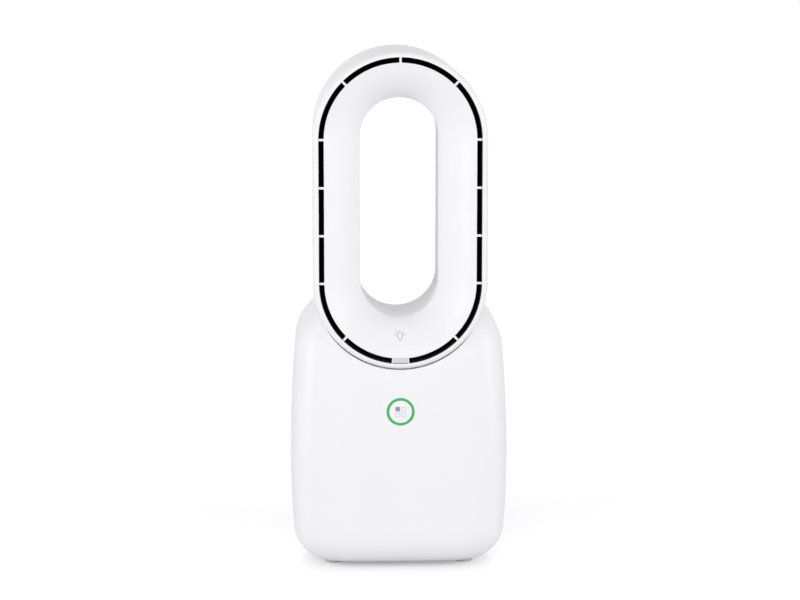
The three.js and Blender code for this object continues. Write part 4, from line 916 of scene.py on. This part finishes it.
place_piece(glow_ring, "green_light", "button_ring")

# %% [markdown]
# The cap's face is a very shallow paraboloid with a rounded rim, so that a finger finds it. A short
# stem behind it meets the plunger of the switch.

# %% Cap
CAP_GAP, CAP_PROUD, CAP_DOME, CAP_ROUND = 0.2, 0.1, 0.4, 0.35
CAP_BACK, STEM_RADIUS, STEM_END = 2.2, 2.4, 6.2
CAP_RADIUS = RING_RADIUS - RING_WIDTH - CAP_GAP


def cap_face(radius):
    """Height of the cap's domed face in front of the housing at a distance from its middle."""
    return -CAP_PROUD - CAP_DOME * (1 - (radius / CAP_RADIUS) ** 2)


cap_rim = CAP_RADIUS - CAP_ROUND
dome_radius = np.linspace(0, cap_rim, 14)
cap_profile = [*np.stack([dome_radius, cap_face(dome_radius)], 1),
               *arc((cap_rim, cap_face(cap_rim) + CAP_ROUND), (CAP_ROUND, CAP_ROUND), -80, 0, 5),
               [CAP_RADIUS, CAP_BACK], [STEM_RADIUS, CAP_BACK], [STEM_RADIUS, STEM_END], [0, STEM_END]]
cap_part = laid_back(turned(cap_profile, BUTTON_SEGMENTS), button_y, BUTTON_HEIGHT)
cap = make_piece("push_button", [cap_part])
place_piece(cap, "white_plastic", "button_cap", body="button")

# %% [markdown]
# Four small rounded squares are printed on the cap, one filled and three as outlines, as a general
# sign for modes. They are thin solids laid on the dome, like the lamp symbol, and ride on the cap's
# body, so they sink with it.

# %% Squares on the cap
SQUARE_HALF, SQUARE_CORNER, SQUARE_SHIFT, SQUARE_LINE = 1.62, 0.6, 2.05, 0.42


def rounded_square(half, corner):
    """The outline of a square with round corners, corner by corner."""
    reach = half - corner
    corners = [((reach, reach), 0), ((-reach, reach), 90),
               ((-reach, -reach), 180), ((reach, -reach), 270)]
    return np.concatenate([arc(c, (corner, corner), a, a + 90, 6) for c, a in corners])


def on_cap(points, lift):
    """Lays [across, up] points on the cap's dome."""
    height = cap_face(np.hypot(points[:, 0], points[:, 1]))
    return np.stack([points[:, 0], button_y + height - lift, BUTTON_HEIGHT + points[:, 1]], 1)


def filled(outline, lay, rings=6):
    """A filled outline as a thin closed solid: rings that shrink to the middle on both faces."""
    middle = outline.mean(0)
    share = np.linspace(0, 1, rings + 1)[:, None, None]
    flat = middle * (1 - share) + outline * share
    top = np.stack([lay(row, PRINT_LIFT) for row in flat])
    under = np.stack([lay(row, 0.0) for row in flat[::-1]])
    grid = np.concatenate([top, under])
    return grid, quads_of(len(grid), len(outline), wrap_columns=True)


square = rounded_square(SQUARE_HALF, SQUARE_CORNER)
line_square = rounded_square(SQUARE_HALF - SQUARE_LINE / 2, SQUARE_CORNER)
filled_sign = make_piece("mode_sign_filled", [filled(square + [-SQUARE_SHIFT, SQUARE_SHIFT], on_cap)],
                         crisp=60)
filled_sign.data.materials.append(finish("blue_grey_print", (0.27, 0.30, 0.47), 0.5, grain=0.005))
place_piece(filled_sign, "grey_plastic", body="button")
line_places = ((SQUARE_SHIFT, SQUARE_SHIFT), (-SQUARE_SHIFT, -SQUARE_SHIFT), (SQUARE_SHIFT, -SQUARE_SHIFT))
line_signs = make_piece("mode_sign_outlines", [
    printed(line_square + place, SQUARE_LINE, on_cap, closed=True) for place in line_places], crisp=60)
line_signs.data.materials.append(finish("pale_blue_print", (0.58, 0.59, 0.68), 0.5, grain=0.005))
place_piece(line_signs, "grey_plastic", body="button")

# %% [markdown]
# ## The feet
#
# Four rubber feet sit in the pockets and keep the fan from sliding. They are turned too, with a
# rounded lower edge and a slightly hollow underside, as moulded feet have.

# %% Feet
HOLLOW_RADIUS, HOLLOW_RIM, HOLLOW_DEPTH, FOOT_ROUND = 3.4, 3.9, 0.25, 0.8
foot_corner = (FOOT_RADIUS - FOOT_ROUND, FOOT_ROUND)
foot_profile = [[0, HOLLOW_DEPTH], [HOLLOW_RADIUS, HOLLOW_DEPTH], [HOLLOW_RIM, 0.0],
                [foot_corner[0], 0], *arc(foot_corner, (FOOT_ROUND, FOOT_ROUND), -90, 0, 5)[1:],
                [FOOT_RADIUS, FOOT_HEIGHT], [0, FOOT_HEIGHT]]
for corner, (sx, sy) in {"front_left": (-1, -1), "front_right": (1, -1),
                         "rear_left": (-1, 1), "rear_right": (1, 1)}.items():
    foot_points, foot_quads = turned(foot_profile, 64)
    foot_points += [sx * FOOT_X, sy * FOOT_Y, 0]
    foot = make_piece(f"rubber_foot_{corner}", [(foot_points, foot_quads)])
    place_piece(foot, "black_rubber", f"foot_{corner}")

# %% [markdown]
# ## The parts inside
#
# The fan unit, the boards and the leads keep their solids. They show only through the intake's
# slots, so each just gets its finish.

# %% Finishes of the solids that stay
slot_of = {row["node"]: row["material_slot"] for row in frame["record"]["subparts"]}
kept = 0
for node_name, node in frame["nodes"].items():
    if node.hide_render:
        continue
    node.data.materials.clear()
    node.data.materials.append(finishes[slot_of[node_name]])
    kept += 1
print("solids that stay:", kept)

# %% [markdown]
# ## Floor and light
#
# The fan stands on a plain white floor with a soft gloss. The floor sends the camera a little light
# of its own, so that it meets the white background without an edge. The fan's shadow stays.

# %% Floor
FLOOR_HALF, FLOOR_ROUGHNESS, FLOOR_LIFT = 14.0, 0.10, 0.27
floor_mesh = bpy.data.meshes.new("floor")
floor_mesh.from_pydata([(-FLOOR_HALF, -FLOOR_HALF, 0), (FLOOR_HALF, -FLOOR_HALF, 0),
                        (FLOOR_HALF, FLOOR_HALF, 0), (-FLOOR_HALF, FLOOR_HALF, 0)], [], [(0, 1, 2, 3)])
floor = bpy.data.objects.new("floor", floor_mesh)
bpy.context.scene.collection.objects.link(floor)
floor_finish = bpy.data.materials.new("white_floor")
floor_finish.use_nodes = True
floor_nodes, floor_links = floor_finish.node_tree.nodes, floor_finish.node_tree.links
floor_shader = floor_nodes["Principled BSDF"]
floor_shader.inputs["Base Color"].default_value = (0.93, 0.93, 0.94, 1)
floor_shader.inputs["Roughness"].default_value = FLOOR_ROUGHNESS
lift = floor_nodes.new("ShaderNodeEmission")
lift.inputs["Color"].default_value = (1, 1, 1, 1)
path = floor_nodes.new("ShaderNodeLightPath")
strength = floor_nodes.new("ShaderNodeMath")
strength.operation = "MULTIPLY"
strength.inputs[1].default_value = FLOOR_LIFT
total = floor_nodes.new("ShaderNodeAddShader")
floor_links.new(path.outputs["Is Camera Ray"], strength.inputs[0])
floor_links.new(strength.outputs["Value"], lift.inputs["Strength"])
floor_links.new(floor_shader.outputs["BSDF"], total.inputs[0])
floor_links.new(lift.outputs["Emission"], total.inputs[1])
floor_links.new(total.outputs["Shader"], floor_nodes["Material Output"].inputs["Surface"])
floor_mesh.materials.append(floor_finish)
print("floor:", 2 * FLOOR_HALF, "m wide")

# %% [markdown]
# The sky is a plain pale light on all sides. It is a little brighter in front than behind and a
# little dimmer above, which leaves the sides of the white casing slightly darker than its face. Two
# numbers that multiply the direction's Y and Z do this. The camera, reflections and anything
# transparent see plain white instead, so the background comes from no extra light on the fan.

# %% Sky
SKY_LEVEL, SKY_FRONT, SKY_TOP = 0.71, 0.18, 0.18
world = bpy.data.worlds.new("studio")
bpy.context.scene.world = world
world.use_nodes = True
sky_nodes, sky_links = world.node_tree.nodes, world.node_tree.links
sky = sky_nodes["Background"]
sky.inputs["Color"].default_value = (0.985, 0.985, 1.0, 1)
direction = sky_nodes.new("ShaderNodeTexCoord")
parts_of = sky_nodes.new("ShaderNodeSeparateXYZ")
ahead = sky_nodes.new("ShaderNodeMath")
ahead.operation = "MULTIPLY_ADD"
ahead.inputs[1].default_value = -SKY_FRONT
ahead.inputs[2].default_value = SKY_LEVEL
level = sky_nodes.new("ShaderNodeMath")
level.operation = "MULTIPLY_ADD"
level.inputs[1].default_value = -SKY_TOP
sky_links.new(direction.outputs["Generated"], parts_of.inputs["Vector"])
sky_links.new(parts_of.outputs["Y"], ahead.inputs[0])
sky_links.new(parts_of.outputs["Z"], level.inputs[0])
sky_links.new(ahead.outputs["Value"], level.inputs[2])
sky_links.new(level.outputs["Value"], sky.inputs["Strength"])
plain = sky_nodes.new("ShaderNodeBackground")
plain.inputs["Color"].default_value = (1, 1, 1, 1)
plain.inputs["Strength"].default_value = 1.0
seen = sky_nodes.new("ShaderNodeLightPath")
either = sky_nodes.new("ShaderNodeMath")
either.operation = "MAXIMUM"
any_of = sky_nodes.new("ShaderNodeMath")
any_of.operation = "MAXIMUM"
blend_sky = sky_nodes.new("ShaderNodeMixShader")
sky_links.new(seen.outputs["Is Camera Ray"], either.inputs[0])
sky_links.new(seen.outputs["Is Glossy Ray"], either.inputs[1])
sky_links.new(either.outputs["Value"], any_of.inputs[0])
sky_links.new(seen.outputs["Is Transmission Ray"], any_of.inputs[1])
sky_links.new(any_of.outputs["Value"], blend_sky.inputs["Fac"])
sky_links.new(sky.outputs["Background"], blend_sky.inputs[1])
sky_links.new(plain.outputs["Background"], blend_sky.inputs[2])
sky_links.new(blend_sky.outputs["Shader"], sky_nodes["World Output"].inputs["Surface"])
print("sky level:", SKY_LEVEL)

# %% [markdown]
# Three large lamps stand where a photographer would put soft boxes: one on each side, to light the
# rounded corners, and one high in front, to light the funnel. A small lamp would throw hard shadows.
# They are turned towards the fan, and the camera doesn't see them.


# %% Soft boxes
def soft_box(name, place, aim, width, height, power):
    """A large lamp at a place, in metres, turned to face a point."""
    lamp = bpy.data.lights.new(name, "AREA")
    lamp.shape, lamp.size, lamp.size_y, lamp.energy = "RECTANGLE", width, height, power
    holder = bpy.data.objects.new(name, lamp)
    holder.location = place
    holder.visible_camera = False
    holder.rotation_euler = (Vector(aim) - Vector(place)).to_track_quat("-Z", "Y").to_euler()
    bpy.context.scene.collection.objects.link(holder)


soft_box("left_box", (-1.6, -0.85, 0.35), (0, 0, 0.12), 0.45, 1.2, 11.0)
soft_box("right_box", (1.6, -0.85, 0.35), (0, 0, 0.12), 0.45, 1.2, 10.5)
soft_box("front_box", (-0.3, -2.2, 1.0), (0, 0, 0.15), 0.9, 0.9, 5.5)
